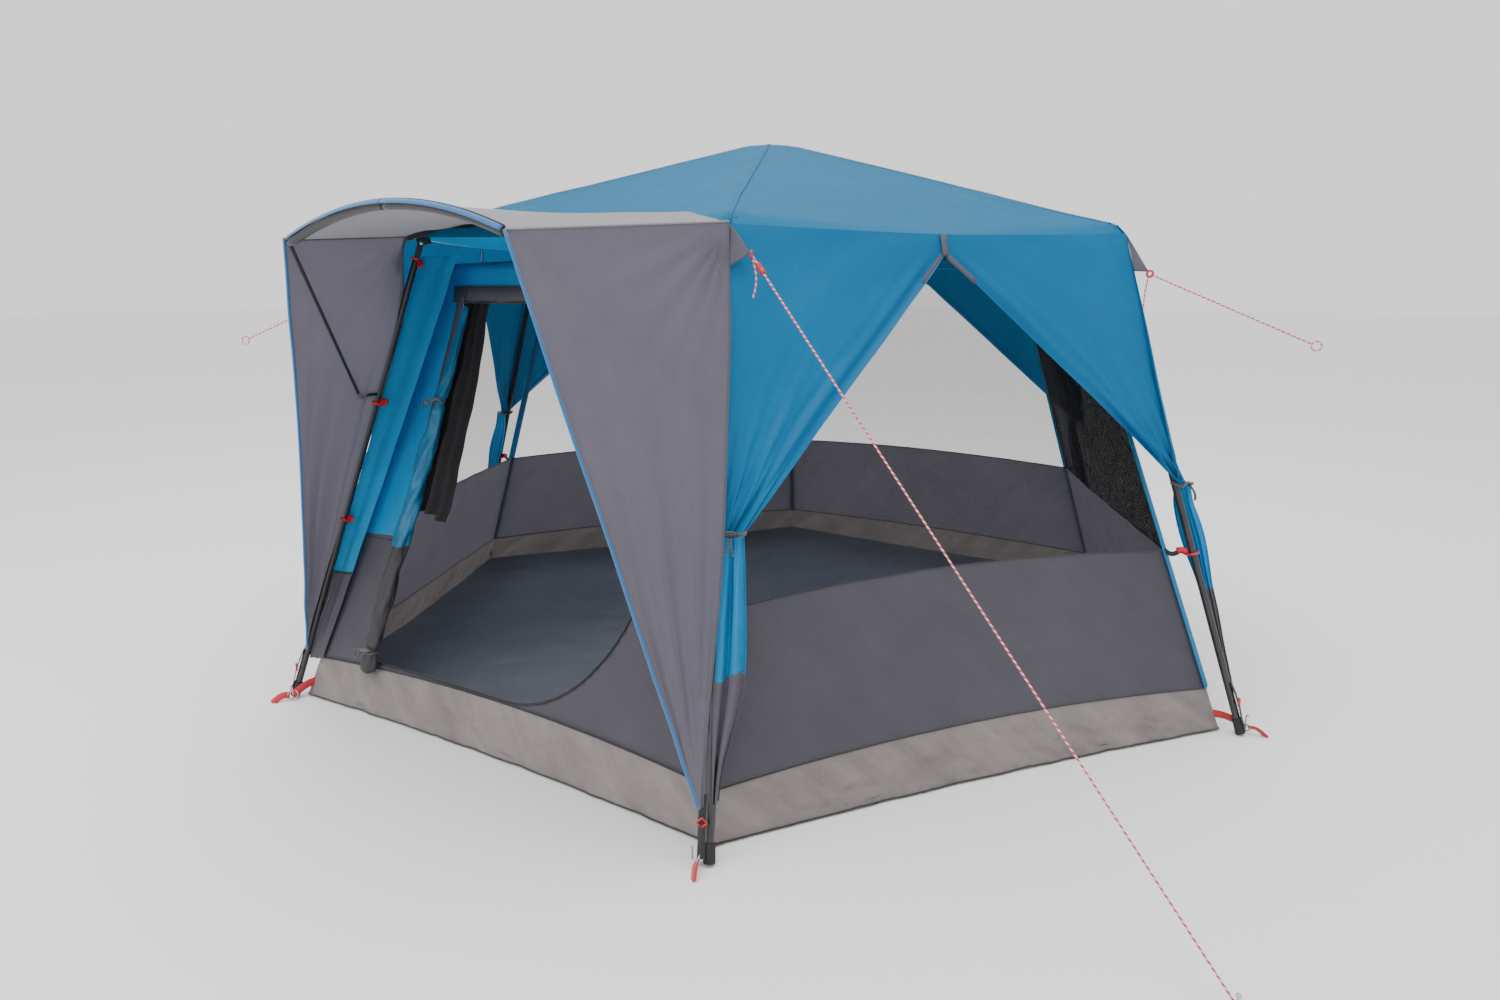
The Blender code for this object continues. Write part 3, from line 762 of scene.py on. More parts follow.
def curtain_point(corner, side, u, v):
    """u runs down from the eave to the tie, v from the leg to the free edge."""
    if by_door(corner, side):
        return door_strip_point(corner, side, u, v)
    angle = CORNERS[corner]
    face = radial(angle + 30 * side)
    tie = tie_point(corner)
    reach = tangent(angle) * (side * (0.034 if corner == "F" else 0.022))
    peak = roof_point(angle, side, 1, 0)
    leg_line = mix(peak + radial(angle) * 0.004, tie - reach, u)
    eave = roof_point(angle, side, 1, 1)
    gap = eave - up(0.062) + face * 0.012
    if u < CURTAIN_GAP:
        edge = mix(eave, gap, u / CURTAIN_GAP)
    else:
        edge = mix(gap, tie + reach, (u - CURTAIN_GAP) / (1 - CURTAIN_GAP))
    place = mix(leg_line, edge, v)
    place = place + (roof_point(angle, side, 1, v) - mix(peak, eave, v)) * (1 - u) ** 2
    edge_gap = (1 - v) * (edge - leg_line).length
    gather = smooth((u - 0.25) / 0.75)
    fold = 0.013 * exp(-edge_gap / 0.05) * sin(edge_gap / 0.0105 + 2.0) * smooth(u / 0.2)
    fold += 0.009 * gather * sin(2 * pi * (3.6 * v + 0.25 * side)) * (0.35 + 0.65 * v)
    fold += 0.004 * gather * sin(2 * pi * (8.3 * v + 1.0 * u)) * (1 - 0.5 * u)
    fold += 0.012 * smooth(u / 0.35) * (1 - u) * sin(pi * v)
    fold += 0.006 * ripple(place, 4.0, 3.0 + angle) * smooth(u / 0.1)
    fold += 0.003 * smooth(u / 0.05) * (1 - smooth(u / 0.5)) * sin(9 * v + 26 * u * v)
    return place + face * fold


def tie_point(corner):
    """Where the curtain is gathered, beside its leg."""
    angle = CORNERS[corner]
    leg = leg_at(angle, TIE_Z)
    if corner == "L":
        return leg + side_way(angle, -1) * 0.050
    if corner == "F":
        return leg + radial(angle) * 0.030 + tangent(angle) * 0.032
    return leg + radial(angle) * 0.018


def tail_point(corner, u, v):
    """The gathered tail below the tie; v runs round its front from side to side."""
    angle = CORNERS[corner]
    out, across = radial(angle), tangent(angle)
    z = mix(TIE_Z, TAIL_Z, u)
    a = mix(-1, 1, v)
    folds_in = (0.006 + 0.012 * smooth(u / 0.3) * (1 - 0.6 * u)) * sin(4.8 * pi * v + 0.8 * u + angle)
    folds_in += 0.004 * ripple((v * 3, u * 6, angle), 1.0) + 0.003 * sin(10.4 * pi * v + 2 * u)
    if corner in FRONT:
        start = tie_point(corner) - leg_at(angle, TIE_Z)
        wide, deep = across, out
        flare = 0.032 + 0.016 * sin(pi / 2 * min(1, u / 0.62)) - 0.037 * smooth((u - 0.55) / 0.45)
        depth = folds_in - 0.018 * a * a
    else:
        start = across * 0.022 + out * (0.012 * (1 - smooth(u / 0.12)) + 0.004)
        wide, deep = (out + across * 0.25).normalized(), across
        flare = 0.026 + 0.013 * smooth(u / 0.25) - 0.016 * smooth((u - 0.25) / 0.3)
        flare -= 0.010 * smooth((u - 0.55) / 0.45)
        depth = abs(folds_in)
    middle = leg_at(angle, z) + start * (1 - 0.75 * smooth((u - 0.45) / 0.55))
    return middle + wide * (a * flare) + deep * depth


def make_curtain(corner, side):
    """One half of a corner's curtain; the half by the door is narrow, in two colours, with a hem."""
    narrow = by_door(corner, side)
    # The door strip's blue is the lighter blue, painted light against its shade.
    columns, mats, pick = (20, ["blue_wall", "wall"], strip_tint) if narrow else (48, "blue", None)
    name = "curtain_%s_%s" % (corner, "a" if side < 0 else "b")
    piece = surface(name, lambda u, v: curtain_point(corner, side, u, v), 60, columns, mats, pick)
    stands_in("fly_curtain_" + corner)
    beside_leg(piece, corner, side)
    declare(piece)
    if narrow:
        u = (STRIP_TOP - STRIP_HEM) / (STRIP_TOP - STRIP_FOOT)
        out = radial(CORNERS[corner]) * 0.002
        hem = [door_strip_point(corner, side, u, v) + out for v in steps(12)]
        beside_leg(tube_mesh("strip_hem_" + corner, hem, 0.0045, "trim"), corner, side)


def make_tail(corner):
    angle = CORNERS[corner]
    split = (TIE_Z - TAIL_BLUE_Z) / (TIE_Z - TAIL_Z)

    def tint(u, v):
        return 0 if u < split + 0.02 * sin(6 * v) else 1

    def point(u, v):
        return tail_point(corner, u, v)

    # The tail's upper part is in the lighter blue, painted light against its shade.
    tail = surface("curtain_tail_" + corner, point, 60, 40, ["blue_wall", "grey"], tint, CLOTH_THICK)
    down, out = leg_down(angle), radial(angle)
    way = {"L": side_way(angle, -1), "F": tangent(angle)}.get(corner, out)
    outside = leg_point(angle, 0.3) + square_to(out, down) * 0.026
    folds(tail, "leg_" + corner, square_to(way, down), outside)
    declare(tail)


def make_tie(corner):
    """The cord and toggle that draw the curtain to its leg."""
    angle = CORNERS[corner]
    centre = tie_point(corner)
    down, across, out = leg_down(angle), tangent(angle), radial(angle)
    loop = []
    for a in steps(24, 0, 2 * pi):
        swing = down * (0.004 * sin(3 * a))
        loop.append(centre + across * (0.036 * cos(a)) + out * (0.026 * sin(a)) + swing)
    parts = [tube_mesh("tie_loop", loop, 0.0052, "cord")]
    front = centre + out * 0.028
    for s in (-1, 1):
        path = []
        for t in steps(8):
            path.append(front + across * (s * 0.010 * t) + down * (0.055 * t) + out * (0.010 * sin(2.6 * t)))
        parts.append(tube_mesh("tie_end", path, 0.0024, "cord"))
    bar = [front + across * x + out * 0.006 for x in steps(6, -0.022, 0.022)]

    def barrel(t):
        return 0.55 + 0.45 * sin(pi * (0.15 + 0.7 * t))

    parts.append(tube_mesh("tie_toggle", bar, 0.0058, "black", 10, barrel))
    piece = joined("curtain_tie_" + corner, parts)
    folds(piece, "leg_" + corner, across, leg_at(angle, TIE_Z))


def make_curtains():
    for corner in ORDER:
        make_curtain(corner, -1)
        make_curtain(corner, 1)
        make_tail(corner)
        make_tie(corner)


def make_eave_tapes():
    """The grey forked tape where two curtains part below the middle of an eave."""
    for corner in ORDER:
        if corner == "L":
            continue
        face = radial(CORNERS[corner] + 30)
        top = curtain_point(corner, 1, 0, 1) + face * 0.005
        gap = curtain_point(corner, 1, CURTAIN_GAP, 1) + face * 0.006
        stem = [mix(top, gap, t) for t in (0, 0.3, 0.6, 1)]
        parts = [ribbon("tape_stem", stem, 0.020, face, "grey", 0.0016)]
        for side, other in ((1, corner), (-1, next_corner(corner))):
            path = []
            for u in steps(5, CURTAIN_GAP, CURTAIN_GAP + 0.10):
                path.append(curtain_point(other, side, u, 0.985) + face * 0.005)
            parts.append(ribbon("tape_leg", path, 0.016, face, "grey", 0.0016))
        beside_leg(joined("eave_tape_" + corner, parts), corner, 1)


# ---------------------------------------------------------------- inner tent
def wall_share(z):
    return (z - WALL_FOOT_Z) / (WALL_TOP_Z - WALL_FOOT_Z)


def wall_corner(corner, z):
    """The inner tent's corner edge at a height."""
    return at(CORNERS[corner], mix(WALL_REACH[corner], WALL_TOP_R, wall_share(z)), z)


def wall_point(angle, across, z):
    """A point on the wall that faces an angle, across from -1 to 1 between its corners."""
    first = next(corner for corner in ORDER if CORNERS[corner] == angle - 30)
    bow = mix(BOW_IN, BOW_TOP, wall_share(z)) * (1 - across * across)
    flat = mix(wall_corner(first, z), wall_corner(next_corner(first), z), (1 + across) / 2)
    return flat - radial(angle) * bow


def wall_cloth(angle, across, z):
    """The wall with its slack: puckers in the band, drag lines in the lower wall, a soft belly above."""
    edge = 1 - abs(across) ** 6
    t = min(1, z / band_height(across))
    pucker = 0.015 * sin(pi * t) * ripple((across * 3.1, z * 6, angle), 1.6, 2.0)
    crease = 0.5 - abs(ripple((across * 9 + z * 22, across * 3 - z * 9, angle), 1.2, 3.0))
    crease += 0.5 * (0.5 - abs(ripple((across * 21 - z * 30, z * 22, angle), 1.1, 8.0)))
    pucker += 0.020 * crease * sin(pi * min(1, 0.12 + 0.88 * t)) * smooth(1.4 - 0.4 * t)
    drag = 0.006 * ripple((across * 4 - z * 3.2, z * 1.2, angle), 1.8, 1.0) * smooth((z - BAND_Z) / 0.1)
    line = 0.5 - abs(ripple((across * 5 - z * 6, across * 1.5 + z * 3, angle), 1.3, 6.0))
    drag += 0.006 * line * smooth((z - BAND_Z) / 0.06) * smooth((SEAM_Z - z) / 0.2)
    belly = 0.010 * ripple((across * 1.6, z * 1.5, angle), 1.1, 7.0) * smooth((z - SEAM_Z) / 0.2)
    lift = 0.004 * ripple((across * 9, 0, angle), 1.0) * (1 - t) if z < BAND_Z else 0
    return wall_point(angle, across, z) + radial(angle) * ((pucker + drag + belly) * edge) + up(max(0, lift))


def seam_height(across):
    """The top of the lower wall, a little higher between the corners."""
    return SEAM_Z - SEAM_RISE / 2 + SEAM_RISE * (1 - across * across)


def band_height(across):
    """Where the beige band ends: it rises towards the middle of a side."""
    return BAND_Z + BAND_RISE * (1 - across * across)


def level(z):
    """A height that is the same all across a wall."""
    return lambda across: z


def wall_path(angle, height, out):
    """A line across a wall at height(across), a little outside its cloth."""
    return [wall_cloth(angle, a, height(a)) + radial(angle) * out for a in steps(48, -1, 1)]


def make_wall(corner):
    """One side of the inner tent, with its seams and its hem."""
    both = corner + next_corner(corner)
    node_name = "wall_%s_%s" % (corner, next_corner(corner))
    angle = CORNERS[corner] + 30
    parts = [("band", level(WALL_FOOT_Z), band_height, "band", 14, 150)]
    if corner != "L":
        parts.append(("lower", band_height, seam_height, "wall", 18, 60))
        parts.append(("upper", seam_height, level(WALL_TOP_Z), WALL_NETS[corner], 18, 40))
    for part, low, high, mat, nu, nv in parts:

        def between(u, v):
            across = 2 * v - 1
            return wall_cloth(angle, across, mix(low(across), high(across), u))

        piece = surface("inner_%s_%s" % (part, both), between, nu, nv, mat)
        stands_in(node_name)
        rests_flat(piece)
        declare(piece)
    if corner == "L":
        make_door_wall(angle, node_name)
    mid = wall_path(angle, level(DOOR_SEAM_Z) if corner == "L" else seam_height, 0.0015)
    runs = [("band", 0, wall_path(angle, band_height, 0.0015)), ("mid", 0, mid)]
    if corner == "L":
        runs[1:] = [("mid", 0, [p for p in mid if p.x < -0.612])]
        runs.append(("mid", 1, [p for p in mid if p.x > DOOR_RIGHT - 0.02]))
    for label, k, run in runs:
        rests_flat(tube_mesh("seam_%s_%s_%d" % (label, both, k), run, 0.0022, "trim", 6))
    hem = wall_path(angle, level(WALL_FOOT_Z), 0.002)
    rests_flat(tube_mesh("floor_hem_" + both, hem, 0.0026, "trim", 6))


def make_walls():
    for corner in ORDER:
        make_wall(corner)
    for corner in ORDER:
        out = radial(CORNERS[corner])
        foot = 0.46 if corner == "F" else 0.14
        points = [wall_corner(corner, z) + out * 0.002 for z in steps(24, foot, WALL_TOP_Z)]
        # The bindings are in the lighter blue, painted light against their shade.
        rests_flat(ribbon("corner_binding_" + corner, points, 0.040, out, "blue_wall", 0.0015))


# ---------------------------------------------------------------- door
def door_left(z):
    """The door's hinge side, which runs in towards its top."""
    share = (z - 0.13) / 1.25
    return -0.645 + 0.130 * share - 0.042 * share * share


def door_outline(grow=0.0):
    """The D of the door as (x, z) points, from its top left round the right to its bottom left."""
    middle, half = (DOOR_SILL + DOOR_HEAD) / 2, (DOOR_HEAD - DOOR_SILL) / 2
    start = 0.02
    points = [(x, DOOR_HEAD + grow) for x in steps(8, door_left(DOOR_HEAD) - grow, start)[:-1]]
    for a in steps(30, pi / 2, -pi / 2):
        points.append((start + (DOOR_RIGHT - start + grow) * cos(a), middle + (half + grow) * sin(a)))
    points += [(x, DOOR_SILL - grow) for x in steps(8, start, door_left(DOOR_SILL) - grow)[1:]]
    return points


def door_place(x, z, out=0.0):
    """A point on the door wall's cloth, out from it by that much."""
    left, right = wall_corner("L", z).x, wall_corner("F", z).x
    return wall_cloth(-90, (2 * x - left - right) / (right - left), z) + Vector((0, -out, 0))


def cut_door(wall):
    """Takes the D of the door out of its wall."""
    outline = door_outline()
    n = len(outline)
    faces = [tuple(range(n)), tuple(reversed(range(n, 2 * n)))]
    faces += [(i, i + n, (i + 1) % n + n, (i + 1) % n) for i in range(n)]
    mesh = bpy.data.meshes.new("door_cutter")
    mesh.from_pydata([(x, y, z) for y in (-1.8, -0.8) for x, z in outline], [], faces)
    cutter = put("door_cutter", mesh)
    form = bmesh.new()
    form.from_mesh(mesh)
    bmesh.ops.recalc_face_normals(form, faces=form.faces)
    form.to_mesh(mesh)
    form.free()
    boolean = wall.modifiers.new("Door", "BOOLEAN")
    boolean.operation = "DIFFERENCE"
    boolean.solver = "EXACT"
    boolean.object = cutter
    cut = evaluated(wall)
    wall.modifiers.clear()
    wall.data = cut
    bpy.data.objects.remove(cutter)


def make_door_wall(angle, node_name):
    """The front wall: grey below its seam, blue above, with the D cut out of it."""

    def point(u, v):
        across = 2 * v - 1
        return wall_cloth(angle, across, mix(band_height(across), WALL_TOP_Z, u))

    def tint(u, v):
        return 0 if mix(BAND_Z, WALL_TOP_Z, u) < DOOR_SEAM_Z else 1

    # The wall's upper part is in the lighter blue, painted light against the shade under the awning.
    wall = surface("door_wall", point, 56, 72, ["wall", "blue_wall"], tint, 0.0010)
    cut_door(wall)
    stands_in(node_name)
    rests_flat(wall)
    tuple(wall["flat"])

    facing = Vector((0, -1, 0.25))
    tape = [door_place(x, z, 0.0022) for x, z in door_outline(0.004)]
    rests_flat(ribbon("door_zip_tape", tape, 0.009, Vector((0, -1, 0.2)), "trim", 0.0012))
    coil = [p + Vector((0, -0.0028, 0)) for p in tape]
    rests_flat(tube_mesh("door_zip_coil", coil, 0.0022, "black", 6))
    hood = [door_place(x, z, 0.007) for x, z in door_outline(0.030) if z > 1.02]
    rests_flat(ribbon("door_hood", hood, 0.058, facing, "wall"))
    side = [door_place(door_left(z) + 0.012, z, 0.009) for z in steps(26, 1.44, 0.66)]
    rests_flat(ribbon("door_side_tape", side, 0.036, facing, "wall"))
    make_door_roll()
    make_door_net()


def make_door_net():
    """The door's own net, gathered behind the rolled door."""

    def point(u, v):
        z = mix(1.398, 0.670, u)
        right = mix(-0.440, -0.412, smooth(u / 0.4)) - 0.014 * smooth((u - 0.92) / 0.08)
        place = door_place(mix(door_left(z) + 0.004, right, v), z, -0.014)
        fold = 0.012 * sin(6.6 * pi * v + 2 * u) + 0.006 * ripple((v * 4, u * 9, 0), 1.0)
        return place + Vector((0, fold, 0.014 * sin(5 * v) * u))

    piece = surface("door_net", point, 60, 36, "net_door")
    rests_flat(piece)
    declare(piece)


def roll_size(t):
    """The rolled door's radius, from its top at 0 to its foot at 1, drawn in at its ties."""
    body = 0.013 + 0.016 * smooth(t / 0.45) - 0.003 * smooth((t - 0.75) / 0.25)
    for tied in ROLL_TIES:
        body *= 1 - 0.34 * exp(-(((t - tied) / 0.014) ** 2))
    return body


def roll_spine(z, t):
    place = door_place(door_left(z) + 0.025 + 0.032 * smooth((z - 0.5) / 0.9), z, 0.024)
    return place + Vector((0.006 * sin(7 * t), -0.004 * sin(9 * t), 0))


def make_door_roll():
    """The door, rolled up along its hinge side and held by two toggles."""
    high, low = 1.385, 0.140
    split = (high - DOOR_SEAM_Z) / (high - low)

    def point(u, v):
        a = 2 * pi * v
        around = Vector((cos(a), sin(a), 0))
        r = roll_size(u)
        twist = 0.09 * sin(4 * a + 46 * u + 3 * ripple((u * 9, v, 0), 1.0))
        r *= 1 + twist + 0.16 * ripple(around + up(u * 16), 1.5, 4.0)
        r *= 1 + 0.07 * sin(2 * a - 31 * u) + 0.06 * ripple(around * 2 + up(u * 40), 1.5, 1.0)
        r *= sqrt(min(1, min(u, 1 - u) / 0.012 + 0.05))
        return roll_spine(mix(high, low, u), u) + Vector((around.x * r * 1.15, around.y * r * 0.85, 0))

    def tint(u, v):
        return 0 if u < split else 1

    # The roll's blue and grey are darker copies of the door's cloth: painted shade between its turns.
    roll = surface("door_roll", point, 150, 36, ["blue_roll_painted_shade", "wall_roll_painted_shade"], tint)
    rests_flat(roll)
    declare(roll)
    for k, t in enumerate(ROLL_TIES):
        make_roll_tie(k, roll_spine(mix(high, low, t), t), roll_size(t) * 1.12)


def make_roll_tie(k, centre, r):
    """A cord round the rolled door, with its toggle and two loose ends."""
    turn = steps(20, 0, 2 * pi)
    loop = [centre + Vector((cos(a) * r * 1.15, sin(a) * r * 0.9, 0.004 * sin(a))) for a in turn]
    bar = [centre + Vector((-0.055 + 0.011 * i, -r * 0.9 - 0.004, 0.002 * i)) for i in range(8)]
    parts = [
        tube_mesh("roll_loop", loop, 0.0028, "cord", 6),
        tube_mesh("roll_toggle", bar, 0.0065, "cord", 10, lambda s: 0.5 + 0.5 * sin(pi * (0.1 + 0.8 * s))),
    ]
    for s in (-1, 1):
        path = []
        for i in range(9):
            x, y = -0.030 - 0.030 * i / 8, -r - 0.004 - 0.012 * sin(i / 3)
            path.append(centre + Vector((x, y, 0.014 * s * sin(i / 2.6) - 0.002 * i)))
        parts.append(tube_mesh("roll_tail", path, 0.0026, "cord", 6))
    rests_flat(joined("roll_tie_%d" % k, parts))


# ---------------------------------------------------------------- floor and ceiling
def floor_point(angle, u, v):
    """The floor between two corners: u from the middle out, v along the side."""
    edge = smooth((u - 0.955) / 0.045)
    place = wall_cloth(angle, 2 * v - 1, 0.004 + 0.030 * edge) * (u * 0.999)
    place.z = 0
    bumps = ((2.6, 1.0, 0.014), (7.0, 4.0, 0.009), (17.0, 2.0, 0.003))
    height = sum(abs(ripple(place, scale, seed)) * size for scale, seed, size in bumps)
    return place + up(0.0042 + 0.020 * edge + height * smooth((1 - u) / 0.06))


def make_floor():
    parts = []
    for corner in ORDER:
        angle = CORNERS[corner] + 30

        def point(u, v):
            return floor_point(angle, max(u, 0.002), v)

        parts.append(surface("floor_part", point, 40, 40, "floor"))
    floor = joined("floor_cloth", parts)
    for polygon in floor.data.polygons:
        polygon.use_smooth = True
    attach(floor, "inner_tent")


def ceiling_point(angle, u, v):
    across = 2 * v - 1
    apothem = WALL_TOP_R * cos(radians(30)) - BOW_TOP * (1 - across * across)
    place = (radial(angle) * apothem + tangent(angle) * (WALL_TOP_R * 0.5 * across)) * u
    z = mix(1.800, WALL_TOP_Z + 0.004, 1 - (1 - u) ** 1.15) - 0.045 * sin(pi * u)
    return place + up(z + 0.01 * ripple(place, 3.0))


def make_ceiling():
    for corner in ORDER:
        angle = CORNERS[corner] + 30

        def point(u, v):
            return ceiling_point(angle, max(u, 0.03), v)

        piece = surface("ceiling_" + corner, point, 20, 20, "ceiling", thick=CLOTH_THICK)
        stands_in("inner_roof")
        rests_flat(piece)
        declare(piece)


# ---------------------------------------------------------------- awning
def arch_point(x):
    return Vector((x, AWNING_Y, AWNING_Z + AWNING_RISE * (1 - (x / AWNING_HALF) ** 2)))


def canopy_edge(sign, u):
    """The seam between the awning's top and one side, from the fly's corner out to the arch."""
    back = roof_point(-90 + 30 * sign, -sign, 1, 0) + Vector((sign * 0.004, -0.006, 0.002))
    return mix(back, arch_point(sign * AWNING_HALF) + Vector((sign * 0.010, -0.010, 0.008)), u)


def canopy_point(u, v):
    """u from the roof out to the arch, v from the left corner to the right one."""
    across = 2 * v - 1
    off = abs(across)
    lap = 0.86 + 0.14 * off**3
    side = 1 if across < 0 else -1
    back = roof_point(-90 - 30 * side, side, lap**1.25, 1 - off) + Vector((0, -0.004, 0.006))
    front = arch_point(AWNING_HALF * across) + Vector((across * 0.010, -0.010, 0.010))
    inside = 1 - off**6
    place = mix(mix(canopy_edge(-1, u), canopy_edge(1, u), v), mix(back, front, u), inside)
    sag = -0.010 * sin(pi * u) * (1 - across * across)
    pull = 0.006 * sin(30 * (1 - u) * (1 - off) + 9 * across) * (1 - u) * off**3
    return place + up((sag + pull + 0.005 * ripple(place, 4.0)) * inside)


def closes_to_elbow(piece, corner, u, v):
    """A piece of the canopy, whose place is near (u, v): it moves with the leg at an elbow."""
    anchor = elbow(CORNERS[corner]) + Vector((0, -0.05, 0))
    folds(piece, "leg_" + corner, canopy_point(u, v) - anchor, anchor)


def make_canopy():
    """The awning's top, in patches that each move with the leg of the nearer elbow."""
    rows, columns = 4, 8
    for i in range(rows):
        for k in range(columns):
            corner = "L" if k < columns / 2 else "F"

            def point(u, v):
                return canopy_point((i + u) / rows, (k + v) / columns)

            piece = surface("canopy_%d%d" % (i, k), point, 12, 12, "grey_top")
            stands_in("awning_canopy")
            closes_to_elbow(piece, corner, (i + 0.5) / rows, (k + 0.5) / columns)
            declare(piece)


def make_canopy_seam():
    """The black binding where the canopy meets the roof by the left elbow."""
    path = [canopy_point(0, v) + Vector((0, -0.008, -0.010)) for v in steps(24, 0.01, 0.31)]
    seam = tube_mesh("canopy_seam", path, 0.009, "trim", taper=lambda t: 1.1 - 0.6 * t)
    closes_to_elbow(seam, "L", 0, 0.16)


def side_frame(corner, sign):
    """The awning side's lower end by the foot, its corner at the eave and its tip on the arch."""
    angle = CORNERS[corner]
    if corner == "L":
        low = leg_point(angle, 0.095) + Vector((0.002, 0.018, 0))
    else:
        low = leg_point(angle, 0.100) + Vector((0.010, -0.050, 0))
    return low, canopy_edge(sign, 0), canopy_edge(sign, 1)


def side_point(corner, sign, u, v):
    """u up the leg from the foot to the eave, v from the leg out to the front edge."""
    low, high, tip = side_frame(corner, sign)
    angle = CORNERS[corner]
    leg = leg_point(angle, mix(0.095, 0.985, u)) + (low - leg_point(angle, 0.095))
    leg += Vector((0.036 if corner == "F" else 0, 0, 0)) * smooth(u / 0.5)
    inner = mix(leg, mix(low, high, u), smooth((u - 0.80) / 0.2))
    outer = mix(low + Vector((0, -0.014, 0)), tip, u)
    face = (high - low).cross(tip - low).normalized()
    if face.x * sign < 0:
        face = -face
    place = mix(inner, outer, v)
    off_leg = v * (outer - inner).length
    deep, loose = (0.014, 0.075) if corner == "L" else (0.006, 0.016)
    body = smooth(u / 0.3)
    fold = smooth(v / 0.12) * sin(2 * pi * (2.6 * v + 0.3)) * body * (1 - smooth((u - 0.55) / 0.45))
    fold += 0.5 * sin(2 * pi * (6.3 * v + 0.6 * u)) * body * (1 - smooth((u - 0.6) / 0.4))
    drop, run = (1 - u) * 1.5, v * 0.7
    reach = hypot(drop, run)
    fan = 0.011 * sin(24 * atan2(drop, run + 0.02)) * exp(-reach / 0.22) * smooth(reach / 0.05)
    pleat = 0.004 * sin(off_leg / 0.014) * exp(-off_leg / 0.10) * smooth(u / 0.1) * smooth(v / 0.04)
    belly = loose * sin(pi * v) ** 1.3 * (1 - v) ** 0.3 * sin(pi * min(1, u)) ** 1.1
    belly += 0.008 * ripple(place, 3.0, 2.0) * smooth(v / 0.1)
    seam = 1 - smooth((u - 0.94) / 0.06)
    place = place + face * ((deep * fold + fan * smooth(v / 0.06) + pleat + belly) * seam)
    return mix(place, mix(high, tip, v), smooth((u - 0.985) / 0.015))


def make_awning_side(corner, sign):
    """One side of the awning, with piping on its edges and a seam along its top."""
    body = "leg_" + corner
    low, high, tip = side_frame(corner, sign)
    way = square_to(tip - high, (high - low).normalized())
    name = "awning_panel_" + corner
    piece = surface(name, lambda u, v: side_point(corner, sign, u, v), 110, 70, "grey")
    stands_in("awning_side_" + corner)
    folds(piece, body, way, high)
    declare(piece)
    for label, v, radius, mat in (("front", 1, 0.0045, "piping"), ("back", 0, 0.0026, "grey")):
        path = [side_point(corner, sign, u, v) for u in steps(60)]
        edge = tube_mesh("awning_piping_%s_%s" % (label, corner), path, radius, mat)
        folds(edge, body, way, high)
    seam = [side_point(corner, sign, 1, v) + up(0.002) for v in steps(30)]
    radius, mat = (0.0052, "trim") if corner == "L" else (0.0030, "grey_top")
    folds(tube_mesh("awning_top_seam_" + corner, seam, radius, mat, 6), body, way, high)


def make_arch(corner, sign):
    """Half of the arch's sleeve, with the binding on its front and the flap behind it."""
    half = [arch_point(sign * x) for x in steps(30, 0.0008, AWNING_HALF)]
    front = [p + Vector((0, -0.012, 0.013)) for p in half]
    behind = [p + Vector((0, 0.006, 0.007)) for p in half]
    core = [p + Vector((0, 0.001, 0)) for p in half]
    binding = ribbon("arch_binding_" + corner, front, 0.015, Vector((0, -0.75, 0.65)), "piping", 0.0016)
    flap = ribbon("arch_flap_" + corner, behind, 0.034, Vector((0, -0.80, -0.60)), "trim", 0.0012)
    sleeve = tube_mesh("arch_sleeve_" + corner, core, 0.0095, "trim", 10)
    for piece in (flap, binding, sleeve):
        folds(piece, "strut_" + corner, (1, 0, 0), (sign * AWNING_HALF, 0, 0))
    stands_in("awning_arch_" + corner)


# ---------------------------------------------------------------- fittings
def red_hook(name, body, place, facing, down, strap_to=None, size=1.0):
    """A moulded hook on a pole, with the strap that it holds."""
    across = facing.cross(down).normalized()
    clip = ring_points(place, down, 0.0165 * size, 16, 20, 320)
    parts = [tube_mesh("hook_clip", clip, 0.0042 * size, "red")]
    tongue = []
    for t in steps(8):
        tongue.append(place + facing * (0.016 + 0.034 * t) * size - down * (0.006 * sin(3 * t)) * size)
    parts.append(ribbon("hook_tongue", tongue, 0.022 * size, across, "red", 0.006 * size))
    if strap_to is not None:
        start = place + facing * 0.044 * size
        path = [mix(start, strap_to, t) + up(-0.012 * sin(pi * t)) for t in steps(10)]
        parts.append(ribbon("hook_strap", path, 0.016, across, "trim", 0.0018))
    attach(joined(name, parts), body)


def make_hooks():
    for corner in ORDER:
        angle = CORNERS[corner]
        name, body, down = "wall_hook_mid_" + corner, "leg_" + corner, leg_down(angle)
        if corner == "L":
            red_hook(name, body, leg_at(angle, 0.640), side_way(angle, 1), down)
        else:
            place, inner = leg_at(angle, 0.590), wall_corner(corner, 0.590)
            red_hook(name, body, place, (inner - place).normalized(), down, inner)
    left = CORNERS["L"]
    hang = Vector((0.80, -0.25, -0.55)).normalized()
    red_hook("wall_hook_high_L", "leg_L", leg_at(left, 1.545), hang, leg_down(left))
    for corner, side in (("L", 1), ("F", -1)):
        angle = CORNERS[corner]
        place = leg_point(angle, STRUT_SHARE - 0.020)
        name = "strut_tab_" + corner
        red_hook(name, "leg_" + corner, place, side_way(angle, side), leg_down(angle), size=1.15)


